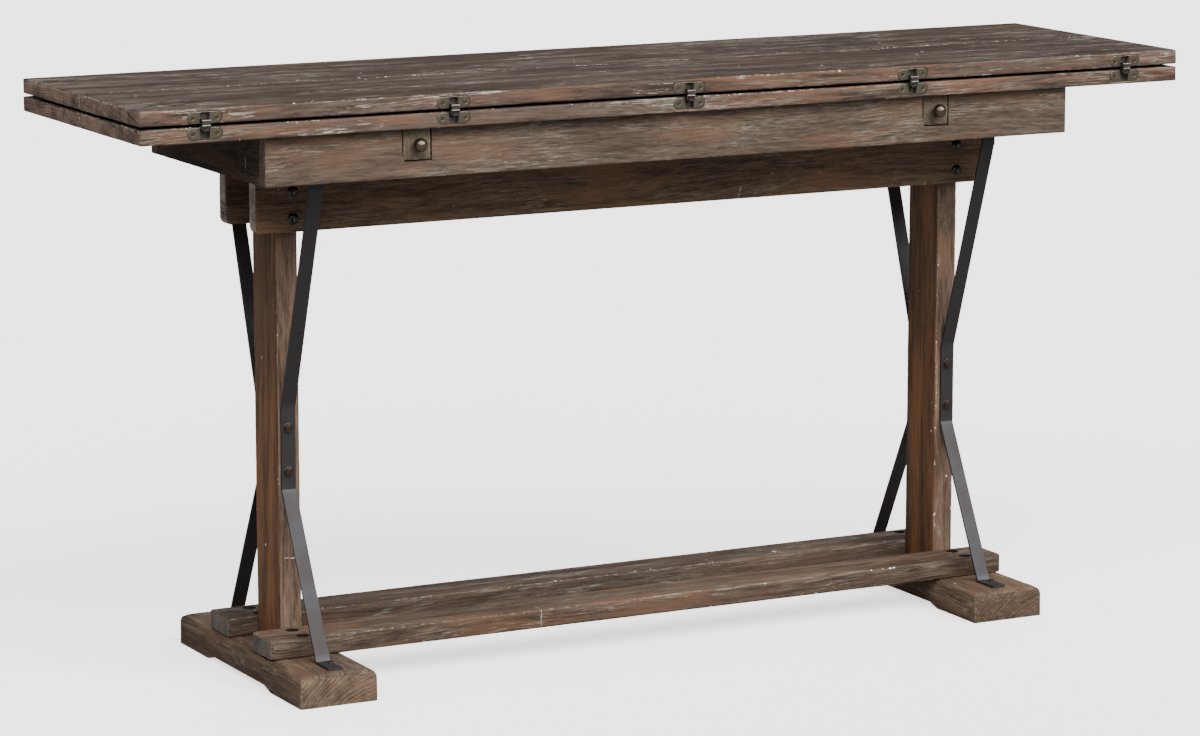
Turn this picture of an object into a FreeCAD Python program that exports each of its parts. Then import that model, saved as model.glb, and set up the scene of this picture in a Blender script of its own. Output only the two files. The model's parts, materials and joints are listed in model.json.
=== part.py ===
import FreeCAD, Part
import math
import os
import re
import Sketcher
from FreeCAD import Rotation, Vector

# Folding console table. Two equal leaves lie one on the other and are joined along the front
# edge by concealed cross-link hinges. The upper leaf turns half a turn forwards, on to two
# lopers that are pulled out of the apron by their knobs.
# X runs along the table, -Y is the front and Z = 0 is the floor, under the middle of the top.

SIZES = (
    ("top_length", 1524, "length of both leaves"),
    ("top_depth", 406.4, "depth of each leaf, so the open table is twice as deep"),
    ("table_height", 774.5, "floor to the upper leaf's top, folded"),
    ("leaf_thickness", 20, "each leaf"),
    ("leaf_gap", 3.2, "space between the folded leaves"),
    ("edge_gap", 0.3, "space between the leaves' edges when open"),
    ("board_easing", 1.2, "small bevel on the boards' edges"),
    ("bumper_diameter", 12, "felt bumper between the leaves"),
    ("bumper_inset", 34, "bumper centre to the leaf's edges"),
    ("bumper_clearance", 0.3, "bumper to the upper leaf"),
    ("apron_length", 1182, "apron box, along X"),
    ("apron_depth", 378.6, "apron box, along Y"),
    ("apron_height", 63.3, "apron boards"),
    ("apron_thickness", 20, "apron boards"),
    ("corner_block_leg", 40, "short side of the glued corner blocks"),
    ("bearer_width", 108, "cross bearer over each post"),
    ("bearer_thickness", 20, "cross bearer"),
    ("loper_spacing", 766, "between the two lopers' centre lines"),
    ("loper_width", 38.5, "pull-out support"),
    ("loper_height", 40.5, "pull-out support"),
    ("loper_length", 345, "pull-out support"),
    ("loper_travel", 280, "how far a loper pulls out"),
    ("loper_clearance", 0.3, "loper to leaf and ledge"),
    ("loper_window_gap", 1.1, "loper to the window in the apron"),
    ("guide_wall", 14, "side of a loper guide"),
    ("guide_ledge", 6, "ledge under the loper"),
    ("guide_lip", 10, "how far the ledge reaches under the loper"),
    ("guide_side_gap", 0.6, "loper to the guide's side"),
    ("groove_height", 8, "stop groove in a loper's side"),
    ("groove_depth", 6, "stop groove"),
    ("stop_pin_diameter", 7.4, "dowel that stops the loper"),
    ("stop_pin_tip_gap", 1, "dowel tip to the groove's floor"),
    ("stop_pin_setback", 36, "dowel behind the apron"),
    ("knob_diameter", 17.8, "ball of a knob"),
    ("knob_projection", 19.5, "loper face to the knob's front"),
    ("knob_neck", 6.4, "neck diameter"),
    ("knob_base", 10.5, "rosette diameter"),
    ("knob_base_thickness", 2.2, "rosette"),
    ("knob_stud_diameter", 4, "screw in the loper"),
    ("knob_stud_length", 18, "screw in the loper"),
    ("foot_spacing", 1007, "between the feet's centre lines"),
    ("foot_length", 404, "along Y"),
    ("foot_width", 108, "along X"),
    ("foot_height", 41.6, "floor to the stretchers"),
    ("foot_end_radius", 13, "rounded upper ends"),
    ("foot_pad", 98, "flat pad at each end of a foot"),
    ("foot_relief", 6, "hollow between the pads"),
    ("foot_relief_slope", 20, "length of the slope from pad to hollow"),
    ("foot_relief_radius", 14, "soft bends of that slope"),
    ("foot_easing", 2, "bevel on the foot's long edges"),
    ("post_spacing", 996, "between the posts' centre lines"),
    ("post_thickness", 30.5, "along X"),
    ("post_width", 76, "along Y"),
    ("tenon_thickness", 18, "tenon into the foot"),
    ("tenon_width", 52, "tenon into the foot"),
    ("tenon_depth", 26, "tenon into the foot"),
    ("mortise_end_gap", 0.5, "tenon end to the mortise floor"),
    ("stretcher_length", 1110, "along X"),
    ("stretcher_width", 65, "along Y"),
    ("stretcher_thickness", 25.7, "along Z"),
    ("stretcher_end_radius", 7, "rounded corners at its ends, in plan"),
    ("stretcher_bolt_spread", 33, "between a pair of bolts"),
    ("stretcher_bolt_inset", 51, "bolts to the stretcher's end"),
    ("bolt_recess_diameter", 17, "counterbore for the bolt head"),
    ("bolt_recess_depth", 7, "counterbore"),
    ("stretcher_bolt_diameter", 7.5, "shank"),
    ("stretcher_bolt_length", 44, "under the head"),
    ("stretcher_bolt_head", 12, "head across its corners"),
    ("stretcher_bolt_head_height", 4.5, "head"),
    ("rail_length", 1099.4, "along X"),
    ("rail_thickness", 22, "along Y"),
    ("rail_height", 79, "along Z"),
    ("rail_corner_radius", 9, "rounded lower ends"),
    ("rail_bolt_lift", 18, "lower bolt above the rail's lower edge"),
    ("rail_bolt_pitch", 35, "between the two bolts of a joint"),
    ("rail_bolt_diameter", 8, "shank"),
    ("rail_bolt_head", 14.6, "domed head"),
    ("rail_bolt_head_height", 4.6, "domed head"),
    ("rail_nut_width", 13, "hexagon nut across its flats"),
    ("rail_nut_height", 6, "hexagon nut"),
    ("strap_spacing", 1000, "between the straps' centre lines"),
    ("strap_width", 19.5, "flat bar"),
    ("strap_thickness", 3, "flat bar"),
    ("strap_bend_low", 250, "lower bend at the post"),
    ("strap_bend_high", 356, "upper bend at the post"),
    ("strap_foot_reach", 142, "centre plane to the lower leg's foot"),
    ("strap_foot_flange", 41, "flange on the foot"),
    ("strap_top_reach", 136, "centre plane to the upper leg's top"),
    ("strap_top_rise", 13, "upright end of the upper leg"),
    ("strap_top_flange", 22, "flange under the bearer"),
    ("strap_bolt_spread", 58, "between the two bolts on a post"),
    ("strap_bolt_diameter", 6, "shank"),
    ("strap_bolt_head", 11.5, "hexagon across its corners"),
    ("strap_bolt_head_height", 4.2, "hexagon"),
    ("hinge_count", 5, "hinges along the front edge"),
    ("hinge_spacing", 338, "between hinges"),
    ("plate_length", 46.5, "pill-shaped hinge plate"),
    ("plate_height", 15, "pill-shaped hinge plate"),
    ("plate_thickness", 2, "pill-shaped hinge plate"),
    ("plate_margin", 0.8, "plate to the leaf's gap side"),
    ("cup_width", 19, "body of the cup behind the plate"),
    ("cup_back", 1.6, "wall behind the slot"),
    ("slot_width", 13, "slot for the links"),
    ("slot_height", 13.4, "slot for the links"),
    ("link_floor_gap", 0.7, "link's far end to the slot's floor, when open"),
    ("link_pivot_inset", 5.2, "pivot behind and below the folding line"),
    ("link_pin_diameter", 1.6, "pivot pin"),
    ("link_pin_clearance", 0.05, "link's bore around its pin, all round"),
    ("pin_grip", 1.6, "how far a pin enters the cup's walls"),
    ("link_arm", 3.2, "width of a link's arm"),
    ("link_reach", 4.2, "folding line to the outside of a bare arm"),
    ("link_web", 1.2, "thickness of cheeks and webs"),
    ("web_slack", 0.2, "wide link's web to the narrow link"),
    ("link_far_end", 8.4, "how far a link passes the folding line"),
    ("link_tail", 2.2, "how far the far end turns back in"),
    ("outer_link_width", 11.6, "wide link"),
    ("inner_link_width", 8, "narrow link, between the wide one's cheeks"),
    ("link_rivet_diameter", 3.2, "head of the middle rivet"),
    ("link_rivet_height", 0.45, "head of the middle rivet"),
    ("seat_clearance", 0.02, "all round a pin or screw that is driven in"),
    ("mortise_clearance", 0.1, "wood to a hinge cup"),
)

DERIVED = {
    "leaf_underside": "table_height - 2 * leaf_thickness - leaf_gap",
    "flip_leaf_underside": "table_height - leaf_thickness",
    "fold_line_height": "table_height - leaf_thickness - leaf_gap / 2",
    "fold_line_front": "-top_depth / 2 - edge_gap / 2",
    "apron_bottom": "leaf_underside - apron_height",
    "apron_face": "-apron_depth / 2",
    "rail_bottom": "apron_bottom - rail_height",
    "loper_bottom": "leaf_underside - loper_clearance - loper_height",
    "plate_rise": "leaf_gap / 2 + plate_margin + plate_height / 2",
    "groove_length": "loper_travel + stop_pin_diameter",
    "groove_start": "apron_thickness + stop_pin_setback - stop_pin_diameter / 2",
    "stop_pin_length": "guide_wall + guide_side_gap + groove_depth - stop_pin_tip_gap",
    "slot_depth": "link_far_end - edge_gap / 2 + link_floor_gap",
    "cup_depth": "slot_depth + cup_back",
    "link_pin_length": "slot_width + 2 * pin_grip",
    "guide_length": "apron_depth - 2 * apron_thickness",
}

doc = FreeCAD.newDocument("folding_console_table")
sheet = doc.addObject("Spreadsheet::Sheet", "Sizes")
for row, (alias, number, note) in enumerate(SIZES, start=1):
    sheet.set(f"A{row}", alias)
    sheet.set(f"B{row}", str(number))
    sheet.setAlias(f"B{row}", alias)
    sheet.set(f"C{row}", note)
doc.recompute()

PARTS = []


def formula(text):
    """A formula in the table's own words, written out for the spreadsheet."""
    def written_out(match):
        word = match.group()
        return f"({formula(DERIVED[word])})" if word in DERIVED else f"Sizes.{word}"
    return re.sub(r"\b[a-z][a-z_]*\b(?!\()", written_out, text)


def value(text):
    """What such a formula comes to, in millimetres."""
    return float(sheet.evalExpression(formula(text)))


def bind(thing, place, text):
    thing.setExpression(place, formula(text))


def put(thing, x="0", y="0", z="0", turn=None):
    """Place a sub-part; turn is an axis and an angle."""
    if turn:
        thing.Placement.Rotation = Rotation(*turn)
    for axis, text in zip("xyz", (x, y, z)):
        bind(thing, f"Placement.Base.{axis}", text)


def keep(thing, label):
    """Enter a sub-part under its own name."""
    thing.Label = label
    PARTS.append(thing)
    return thing


# ---- sketches ----------------------------------------------------------------------------

def sketch_on(body, role, offset="0"):
    """A sketch on one of the body's own origin planes, moved along the plane's normal."""
    sketch = body.newObject("Sketcher::SketchObject", body.Name + "_sketch")
    plane = next(item for item in body.Origin.OriginFeatures if item.Role == role)
    sketch.AttachmentSupport = [(plane, "")]
    sketch.MapMode = "FlatFace"
    bind(sketch, "AttachmentOffset.Base.z", offset)
    return sketch


def hold(sketch, kind, *where, text):
    """A dimension that follows the spreadsheet."""
    number = sketch.addConstraint(Sketcher.Constraint(kind, *where, value(text)))
    sketch.setExpression(f"Constraints[{number}]", formula(text))


def pin_point(sketch, geometry, point, x, y):
    hold(sketch, "DistanceX", -1, 1, geometry, point, text=x)
    hold(sketch, "DistanceY", -1, 1, geometry, point, text=y)


def circle(sketch, x, y, diameter):
    centre = Vector(value(x), value(y), 0)
    ring = sketch.addGeometry(Part.Circle(centre, Vector(0, 0, 1), value(diameter) / 2))
    pin_point(sketch, ring, 3, x, y)
    hold(sketch, "Diameter", ring, text=diameter)


def rounding(before, corner, after, radius):
    """The arc that rounds a corner, its two ends in order, and whether it turns left."""
    to_before, to_after = (before - corner).normalize(), (after - corner).normalize()
    half = to_before.getAngle(to_after) / 2
    start = corner + to_before * (radius / math.tan(half))
    end = corner + to_after * (radius / math.tan(half))
    middle = corner + (to_before + to_after).normalize() * (radius / math.sin(half))
    left = (corner - before).cross(after - corner).z > 0
    first, last = (start, end) if left else (end, start)
    angles = [math.atan2(tip.y - middle.y, tip.x - middle.x) for tip in (first, last)]
    arc = Part.ArcOfCircle(Part.Circle(middle, Vector(0, 0, 1), radius), *angles)
    return arc, start, end, left


def outline(sketch, *corners):
    """A closed outline: each corner has two coordinates and may have a radius."""
    places = [Vector(value(corner[0]), value(corner[1]), 0) for corner in corners]
    count = len(corners)
    ends, arcs = [], []
    for index, corner in enumerate(corners):
        place = places[index]
        if len(corner) == 2:
            ends.append((place, place))
            arcs.append(None)
            continue
        around = places[index - 1], place, places[(index + 1) % count]
        arc, start, end, left = rounding(*around, value(corner[2]))
        ends.append((start, end))
        arcs.append((arc, left))
    lines = []
    for index in range(count):
        line = Part.LineSegment(ends[index][1], ends[(index + 1) % count][0])
        lines.append(sketch.addGeometry(line))
    for index, corner in enumerate(corners):
        arriving, leaving = lines[index - 1], lines[index]
        if arcs[index] is None:
            sketch.addConstraint(Sketcher.Constraint("Coincident", arriving, 2, leaving, 1))
            pin_point(sketch, leaving, 1, corner[0], corner[1])
            continue
        arc, left = arcs[index]
        bend = sketch.addGeometry(arc)
        first, last = (1, 2) if left else (2, 1)
        sketch.addConstraint(Sketcher.Constraint("Tangent", arriving, 2, bend, first))
        sketch.addConstraint(Sketcher.Constraint("Tangent", bend, last, leaving, 1))
        hold(sketch, "Radius", bend, text=corner[2])
        mark = sketch.addGeometry(Part.Point(places[index]), True)
        pin_point(sketch, mark, 1, corner[0], corner[1])
        for line in (arriving, leaving):
            sketch.addConstraint(Sketcher.Constraint("PointOnObject", mark, 1, line))


def rectangle(sketch, x, y, width, height):
    """A rectangle around a centre."""
    left, right = f"{x} - ({width}) / 2", f"{x} + ({width}) / 2"
    low, high = f"{y} - ({height}) / 2", f"{y} + ({height}) / 2"
    outline(sketch, (left, low), (right, low), (right, high), (left, high))


def pill(sketch, x, y, length, height):
    """A rectangle whose ends are half circles."""
    middle = Vector(value(x), value(y), 0)
    radius = value(height) / 2
    reach = Vector(value(length) / 2 - radius, 0, 0)
    rise = Vector(0, radius, 0)
    up = Vector(0, 0, 1)
    right = sketch.addGeometry(
        Part.ArcOfCircle(Part.Circle(middle + reach, up, radius), -math.pi / 2, math.pi / 2))
    left = sketch.addGeometry(
        Part.ArcOfCircle(Part.Circle(middle - reach, up, radius), math.pi / 2, math.pi * 1.5))
    top = sketch.addGeometry(Part.LineSegment(middle + reach + rise, middle - reach + rise))
    low = sketch.addGeometry(Part.LineSegment(middle - reach - rise, middle + reach - rise))
    joints = ((right, 2, top, 1), (top, 2, left, 1), (left, 2, low, 1), (low, 2, right, 1))
    for joint in joints:
        sketch.addConstraint(Sketcher.Constraint("Tangent", *joint))
    pin_point(sketch, right, 3, f"{x} + ({length}) / 2 - ({height}) / 2", y)
    pin_point(sketch, left, 3, f"{x} - ({length}) / 2 + ({height}) / 2", y)
    hold(sketch, "Radius", right, text=f"({height}) / 2")


# ---- features ----------------------------------------------------------------------------

def pad(body, sketch, length, side="One side", backwards=False):
    feature = body.newObject("PartDesign::Pad", body.Name + "_pad")
    feature.Profile = sketch
    feature.SideType = side
    feature.Reversed = backwards
    bind(feature, "Length", length)
    doc.recompute()
    return feature


def pocket(body, sketch, depth=None, side="One side", backwards=False):
    """Cut a sketch into the body, right through where no depth is given."""
    before = body.Shape.Volume
    feature = body.newObject("PartDesign::Pocket", body.Name + "_pocket")
    feature.Profile = sketch
    feature.SideType = side
    feature.Reversed = backwards
    if depth is None:
        feature.Type = "ThroughAll"
    else:
        bind(feature, "Length", depth)
    doc.recompute()
    if not body.Shape.Volume < before:
        raise ValueError(f"{feature.Name} cuts nothing")
    return feature


def revolve(body, sketch):
    feature = body.newObject("PartDesign::Revolution", body.Name + "_revolution")
    feature.Profile = sketch
    feature.ReferenceAxis = (sketch, ["V_Axis"])
    doc.recompute()
    return feature


def edges_along(shape, direction):
    """Names of the straight edges that run along one axis."""
    names = []
    for number, edge in enumerate(shape.Edges, start=1):
        if isinstance(edge.Curve, Part.Line) and abs(edge.Curve.Direction.dot(direction)) > 0.999:
            names.append(f"Edge{number}")
    return names


def bevel(body, size, edges=None):
    """A small bevel on some edges, or on all of them."""
    base = body.Tip
    feature = body.newObject("PartDesign::Chamfer", body.Name + "_bevel")
    feature.Base = (base, edges or ["Edge1"])
    feature.UseAllEdges = edges is None
    bind(feature, "Size", size)
    doc.recompute()
    return feature


def board(label, width, depth, height, easing="board_easing"):
    """A board whose origin is the middle of its underside, with all its edges eased."""
    body = keep(doc.addObject("PartDesign::Body", label), label)
    sketch = sketch_on(body, "XY_Plane")
    rectangle(sketch, "0", "0", width, depth)
    pad(body, sketch, height)
    bevel(body, easing)
    return body


def turned(label, *corners):
    """A turned piece about Z, from its half outline in X and Z."""
    body = doc.addObject("PartDesign::Body", label)
    sketch = sketch_on(body, "XZ_Plane")
    outline(sketch, *corners)
    revolve(body, sketch)
    return body


def group(label, pieces):
    """One node of separate solids: copies of finished pieces, each turned and moved."""
    shapes = []
    for piece, turn, place in pieces:
        shape = piece.Shape.copy()
        if turn:
            shape.rotate(Vector(0, 0, 0), *turn)
        shape.translate(Vector(*(value(text) for text in place)))
        shapes.append(shape)
    feature = doc.addObject("Part::Feature", label)
    feature.Shape = Part.makeCompound(shapes)
    return keep(feature, label)


KNOB_MIDDLE = "knob_projection - knob_diameter / 2"
SIDES = (("left", -1), ("right", 1))
FACES = (("front", -1), ("back", 1))
HINGES = range(int(value("hinge_count")))
X_AXIS, Y_AXIS, Z_AXIS = Vector(1, 0, 0), Vector(0, 1, 0), Vector(0, 0, 1)


def hinge_place(number):
    """X of a hinge, as a formula."""
    return f"({number} - (hinge_count - 1) / 2) * hinge_spacing"


# ---- leaves ------------------------------------------------------------------------------

def mortise_hinges(body, plate_height_in_board):
    """Cut the hinges' seats into a front board's edge."""
    seats, depths = (sketch_on(body, "XZ_Plane", "top_depth / 4") for _ in range(2))
    for number in HINGES:
        x = hinge_place(number)
        pill(seats, x, plate_height_in_board,
             "plate_length + 2 * mortise_clearance", "plate_height + 2 * mortise_clearance")
        rectangle(depths, x, plate_height_in_board,
                  "cup_width + 2 * mortise_clearance", "plate_height + 2 * mortise_clearance")
    pocket(body, seats, "plate_thickness + mortise_clearance")
    pocket(body, depths, "cup_depth + mortise_clearance")


def leaf(name, underside, plate_height_in_board):
    """A leaf of two boards, glued edge to edge; the front one carries the hinges."""
    for face, side in FACES:
        label = f"{name}_{face}_board"
        body = board(label, "top_length", "top_depth / 2", "leaf_thickness")
        put(body, y=f"{side} * top_depth / 4", z=underside)
        if face == "front":
            mortise_hinges(body, plate_height_in_board)


def make_bumpers():
    felt = turned("felt_blank", ("0", "0"), ("bumper_diameter / 2", "0"),
                  ("bumper_diameter / 2", "leaf_gap - bumper_clearance"),
                  ("0", "leaf_gap - bumper_clearance"))
    places = [(f"{side} * (top_length / 2 - bumper_inset)",
               f"{face} * (top_depth / 2 - bumper_inset)", "leaf_underside + leaf_thickness")
              for _, side in SIDES for _, face in FACES]
    group("leaf_bumpers", [(felt, None, place) for place in places])


# ---- apron, bearers and lopers -----------------------------------------------------------

def make_apron():
    """A box of four boards under the fixed leaf; the front one has a window for each loper."""
    for face, side in FACES:
        body = board(f"{face}_apron", "apron_length", "apron_thickness", "apron_height", "0.5")
        put(body, y=f"{side} * (apron_depth - apron_thickness) / 2", z="apron_bottom")
        if face == "front":
            windows = sketch_on(body, "XZ_Plane")
            low = "loper_bottom - loper_window_gap - apron_bottom"
            high = "apron_height + loper_window_gap"
            half = "loper_width / 2 + loper_window_gap"
            for _, across in SIDES:
                x = f"{across} * loper_spacing / 2"
                outline(windows, (f"{x} - ({half})", low), (f"{x} + ({half})", low),
                        (f"{x} + ({half})", high), (f"{x} - ({half})", high))
            pocket(body, windows, side="Symmetric")
    for name, side in SIDES:
        body = board(f"{name}_end_apron", "apron_thickness",
                     "apron_depth - 2 * apron_thickness", "apron_height", "0.5")
        put(body, x=f"{side} * (apron_length - apron_thickness) / 2", z="apron_bottom")


def make_corner_blocks():
    """Glued three-cornered blocks that tie the apron's corners, on top of the bearers."""
    block = doc.addObject("PartDesign::Body", "corner_block_blank")
    sketch = sketch_on(block, "XY_Plane")
    outline(sketch, ("0", "0"), ("corner_block_leg", "0"), ("0", "corner_block_leg"))
    pad(block, sketch, "apron_height - bearer_thickness")
    corners = ((1, 1, 180), (-1, 1, 270), (-1, -1, 0), (1, -1, 90))
    group("apron_corner_blocks", [
        (block, (Z_AXIS, angle), (f"{across} * (apron_length / 2 - apron_thickness)",
                                  f"{along} * (apron_depth / 2 - apron_thickness)",
                                  "apron_bottom + bearer_thickness"))
        for across, along, angle in corners])


def make_bearers():
    for name, side in SIDES:
        body = board(f"{name}_bearer", "bearer_width", "apron_depth - 2 * apron_thickness",
                     "bearer_thickness", "0.5")
        put(body, x=f"{side} * post_spacing / 2", z="apron_bottom")


def make_loper_guides():
    """L-shaped guides under the fixed leaf, a pair to each loper; a dowel stops the loper."""
    guide = doc.addObject("PartDesign::Body", "guide_blank")
    profile = sketch_on(guide, "XZ_Plane")
    inside = "loper_width / 2 + guide_side_gap"
    ledge_top = "loper_bottom - loper_clearance"
    outline(profile, (f"{inside} + guide_wall", "leaf_underside"), (inside, "leaf_underside"),
            (inside, ledge_top), ("loper_width / 2 - guide_lip", ledge_top),
            ("loper_width / 2 - guide_lip", f"{ledge_top} - guide_ledge"),
            (f"{inside} + guide_wall", f"{ledge_top} - guide_ledge"))
    pad(guide, profile, "guide_length", side="Symmetric")
    hole = sketch_on(guide, "YZ_Plane")
    pin_y = "apron_face + apron_thickness + stop_pin_setback"
    pin_z = "loper_bottom + loper_height / 2"
    circle(hole, pin_y, pin_z, "stop_pin_diameter + 2 * seat_clearance")
    pocket(guide, hole, side="Symmetric")
    dowel = turned("dowel_blank", ("0", "0"), ("stop_pin_diameter / 2", "0"),
                   ("stop_pin_diameter / 2", "stop_pin_length"), ("0", "stop_pin_length"))
    centres = [f"{side} * loper_spacing / 2" for _, side in SIDES]
    group("loper_guides", [(guide, (Z_AXIS, angle), (x, "0", "0"))
                           for x in centres for angle in (0, 180)])
    group("loper_stop_pins", [
        (dowel, (Y_AXIS, -90), (f"{x} + {inside} + guide_wall", pin_y, pin_z)) for x in centres])


def knob_outline(sketch):
    """Half a knob, from its screw below through rosette and neck to the ball on top."""
    ball, neck, middle = value("knob_diameter") / 2, value("knob_neck") / 2, value(KNOB_MIDDLE)
    dip = math.sqrt(ball ** 2 - neck ** 2)
    corners = (("0", "-knob_stud_length"), ("knob_stud_diameter / 2", "-knob_stud_length"),
               ("knob_stud_diameter / 2", "0"), ("knob_base / 2", "0"),
               ("knob_base / 2", "knob_base_thickness"), ("knob_neck / 2", "knob_base_thickness"))
    places = [Vector(value(x), value(y), 0) for x, y in corners]
    low, top = Vector(neck, middle - dip, 0), Vector(0, middle + ball, 0)
    chain = [Part.LineSegment(*ends) for ends in zip(places, places[1:] + [low])]
    centre = Part.Circle(Vector(0, middle, 0), Vector(0, 0, 1), ball)
    chain.append(Part.ArcOfCircle(centre, -math.atan2(dip, neck), math.pi / 2))
    chain.append(Part.LineSegment(top, places[0]))
    pieces = sketch.addGeometry(chain)
    for before, after in zip(pieces, pieces[1:] + pieces[:1]):
        sketch.addConstraint(Sketcher.Constraint("Coincident", before, 2, after, 1))
    for piece, (x, y) in zip(pieces, corners):
        pin_point(sketch, piece, 1, x, y)
    arc = pieces[-2]
    hold(sketch, "DistanceX", -1, 1, arc, 1, text="knob_neck / 2")
    hold(sketch, "DistanceX", -1, 1, arc, 2, text="0")
    pin_point(sketch, arc, 3, "0", KNOB_MIDDLE)
    hold(sketch, "Radius", arc, text="knob_diameter / 2")


def make_lopers():
    """Pull-out supports, each with a stop groove in one side, and their knobs."""
    for name, side in SIDES:
        loper = board(f"{name}_loper", "loper_width", "loper_length", "loper_height", "0.8")
        groove = sketch_on(loper, "YZ_Plane", "loper_width / 2")
        front = "-loper_length / 2 + groove_start"
        low = "(loper_height - groove_height) / 2"
        outline(groove, (front, low), (f"{front} + groove_length", low),
                (f"{front} + groove_length", f"{low} + groove_height"),
                (front, f"{low} + groove_height"))
        pocket(loper, groove, "groove_depth")
        bore = sketch_on(loper, "XZ_Plane", "loper_length / 2")
        circle(bore, "0", "loper_height / 2", "knob_stud_diameter + 2 * seat_clearance")
        pocket(loper, bore, "knob_stud_length + mortise_end_gap")
        put(loper, x=f"{side} * loper_spacing / 2", y="apron_face + loper_length / 2",
            z="loper_bottom")
        knob = keep(doc.addObject("PartDesign::Body", f"{name}_knob"), f"{name}_knob")
        half = sketch_on(knob, "XZ_Plane")
        knob_outline(half)
        revolve(knob, half)
        put(knob, x=f"{side} * loper_spacing / 2", y="apron_face",
            z="loper_bottom + loper_height / 2", turn=(X_AXIS, 90))


# ---- trestles ----------------------------------------------------------------------------

def make_feet():
    """Feet with rounded upper ends, a hollow underneath and a mortise for the post."""
    for name, side in SIDES:
        foot = keep(doc.addObject("PartDesign::Body", f"{name}_foot"), f"{name}_foot")
        profile = sketch_on(foot, "YZ_Plane")
        half, pad_end = "foot_length / 2", "(foot_length / 2 - foot_pad)"
        slope_end = f"({pad_end} - foot_relief_slope)"
        outline(profile, (f"-{half}", "0"), (f"-{pad_end}", "0", "foot_relief_radius"),
                (f"-{slope_end}", "foot_relief", "foot_relief_radius"),
                (slope_end, "foot_relief", "foot_relief_radius"),
                (pad_end, "0", "foot_relief_radius"), (half, "0"),
                (half, "foot_height", "foot_end_radius"),
                (f"-{half}", "foot_height", "foot_end_radius"))
        pad(foot, profile, "foot_width", side="Symmetric")
        long_edges = [edge for edge in edges_along(foot.Shape, Y_AXIS)
                      if foot.Shape.getElement(edge).CenterOfMass.z > value("foot_height") / 2]
        bevel(foot, "foot_easing", long_edges)
        mortise = sketch_on(foot, "XY_Plane", "foot_height")
        post_x = f"{side} * (post_spacing - foot_spacing) / 2"
        rectangle(mortise, post_x, "0", "tenon_thickness + 2 * seat_clearance",
                  "tenon_width + 2 * seat_clearance")
        pocket(foot, mortise, "tenon_depth + mortise_end_gap")
        holes = sketch_on(foot, "XY_Plane", "foot_height")
        bolt_x = f"{side} * (stretcher_length / 2 - stretcher_bolt_inset - foot_spacing / 2)"
        for _, face in FACES:
            for place in (-1, 1):
                circle(holes, bolt_x, stretcher_bolt_y(face, place),
                       "stretcher_bolt_diameter + 2 * seat_clearance")
        pocket(foot, holes, "bolt_recess_depth + stretcher_bolt_length - stretcher_thickness"
                            " + mortise_end_gap")
        put(foot, x=f"{side} * foot_spacing / 2")


def make_posts():
    """Posts with a tenon below and holes for the rail and strap bolts."""
    for name, side in SIDES:
        post = board(f"{name}_post", "post_thickness", "post_width",
                     "apron_bottom - foot_height", "0.8")
        tenon = sketch_on(post, "XY_Plane")
        rectangle(tenon, "0", "0", "tenon_thickness", "tenon_width")
        pad(post, tenon, "tenon_depth", backwards=True)
        holes = sketch_on(post, "XZ_Plane")
        for place in (0, 1):
            circle(holes, "0", f"rail_bottom + rail_bolt_lift + {place} * rail_bolt_pitch"
                   " - foot_height", "rail_bolt_diameter + 2 * seat_clearance")
        strap_x = f"{side} * (strap_spacing - post_spacing) / 2"
        for place in (-1, 1):
            circle(holes, strap_x, f"(strap_bend_low + strap_bend_high) / 2"
                   f" + {place} * strap_bolt_spread / 2 - foot_height",
                   "strap_bolt_diameter + 2 * seat_clearance")
        pocket(post, holes, side="Symmetric")
        put(post, x=f"{side} * post_spacing / 2", z="foot_height")


def stretcher_bolt_y(face, place):
    return (f"{face} * (post_width + stretcher_width) / 2 + {place} * stretcher_bolt_spread / 2")


def make_stretchers():
    """Two boards flat on the feet, one each side of the posts, with counterbored bolt holes."""
    for name, face in FACES:
        body = keep(doc.addObject("PartDesign::Body", f"{name}_stretcher"), f"{name}_stretcher")
        plan = sketch_on(body, "XY_Plane")
        half, side_y = "stretcher_length / 2", "stretcher_width / 2"
        outline(plan, (f"-{half}", f"-{side_y}", "stretcher_end_radius"),
                (half, f"-{side_y}", "stretcher_end_radius"),
                (half, side_y, "stretcher_end_radius"),
                (f"-{half}", side_y, "stretcher_end_radius"))
        pad(body, plan, "stretcher_thickness")
        bevel(body, "board_easing")
        recesses = sketch_on(body, "XY_Plane", "stretcher_thickness")
        shanks = sketch_on(body, "XY_Plane", "stretcher_thickness")
        for _, side in SIDES:
            for place in (-1, 1):
                x = f"{side} * (stretcher_length / 2 - stretcher_bolt_inset)"
                y = f"{place} * stretcher_bolt_spread / 2"
                circle(recesses, x, y, "bolt_recess_diameter")
                circle(shanks, x, y, "stretcher_bolt_diameter + 2 * seat_clearance")
        pocket(body, recesses, "bolt_recess_depth")
        pocket(body, shanks)
        put(body, y=f"{face} * (post_width + stretcher_width) / 2", z="foot_height")


def make_rails():
    """Two upper rails, one each side of the posts, with rounded lower ends."""
    for name, face in FACES:
        body = keep(doc.addObject("PartDesign::Body", f"{name}_rail"), f"{name}_rail")
        profile = sketch_on(body, "XZ_Plane")
        half = "rail_length / 2"
        outline(profile, (f"-{half}", "0", "rail_corner_radius"),
                (half, "0", "rail_corner_radius"), (half, "rail_height"),
                (f"-{half}", "rail_height"))
        pad(body, profile, "rail_thickness", side="Symmetric")
        bevel(body, "board_easing")
        holes = sketch_on(body, "XZ_Plane")
        for _, side in SIDES:
            for place in (0, 1):
                circle(holes, f"{side} * post_spacing / 2",
                       f"rail_bolt_lift + {place} * rail_bolt_pitch",
                       "rail_bolt_diameter + 2 * seat_clearance")
        pocket(body, holes, side="Symmetric")
        put(body, y=f"{face} * (post_width + rail_thickness) / 2", z="rail_bottom")


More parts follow.
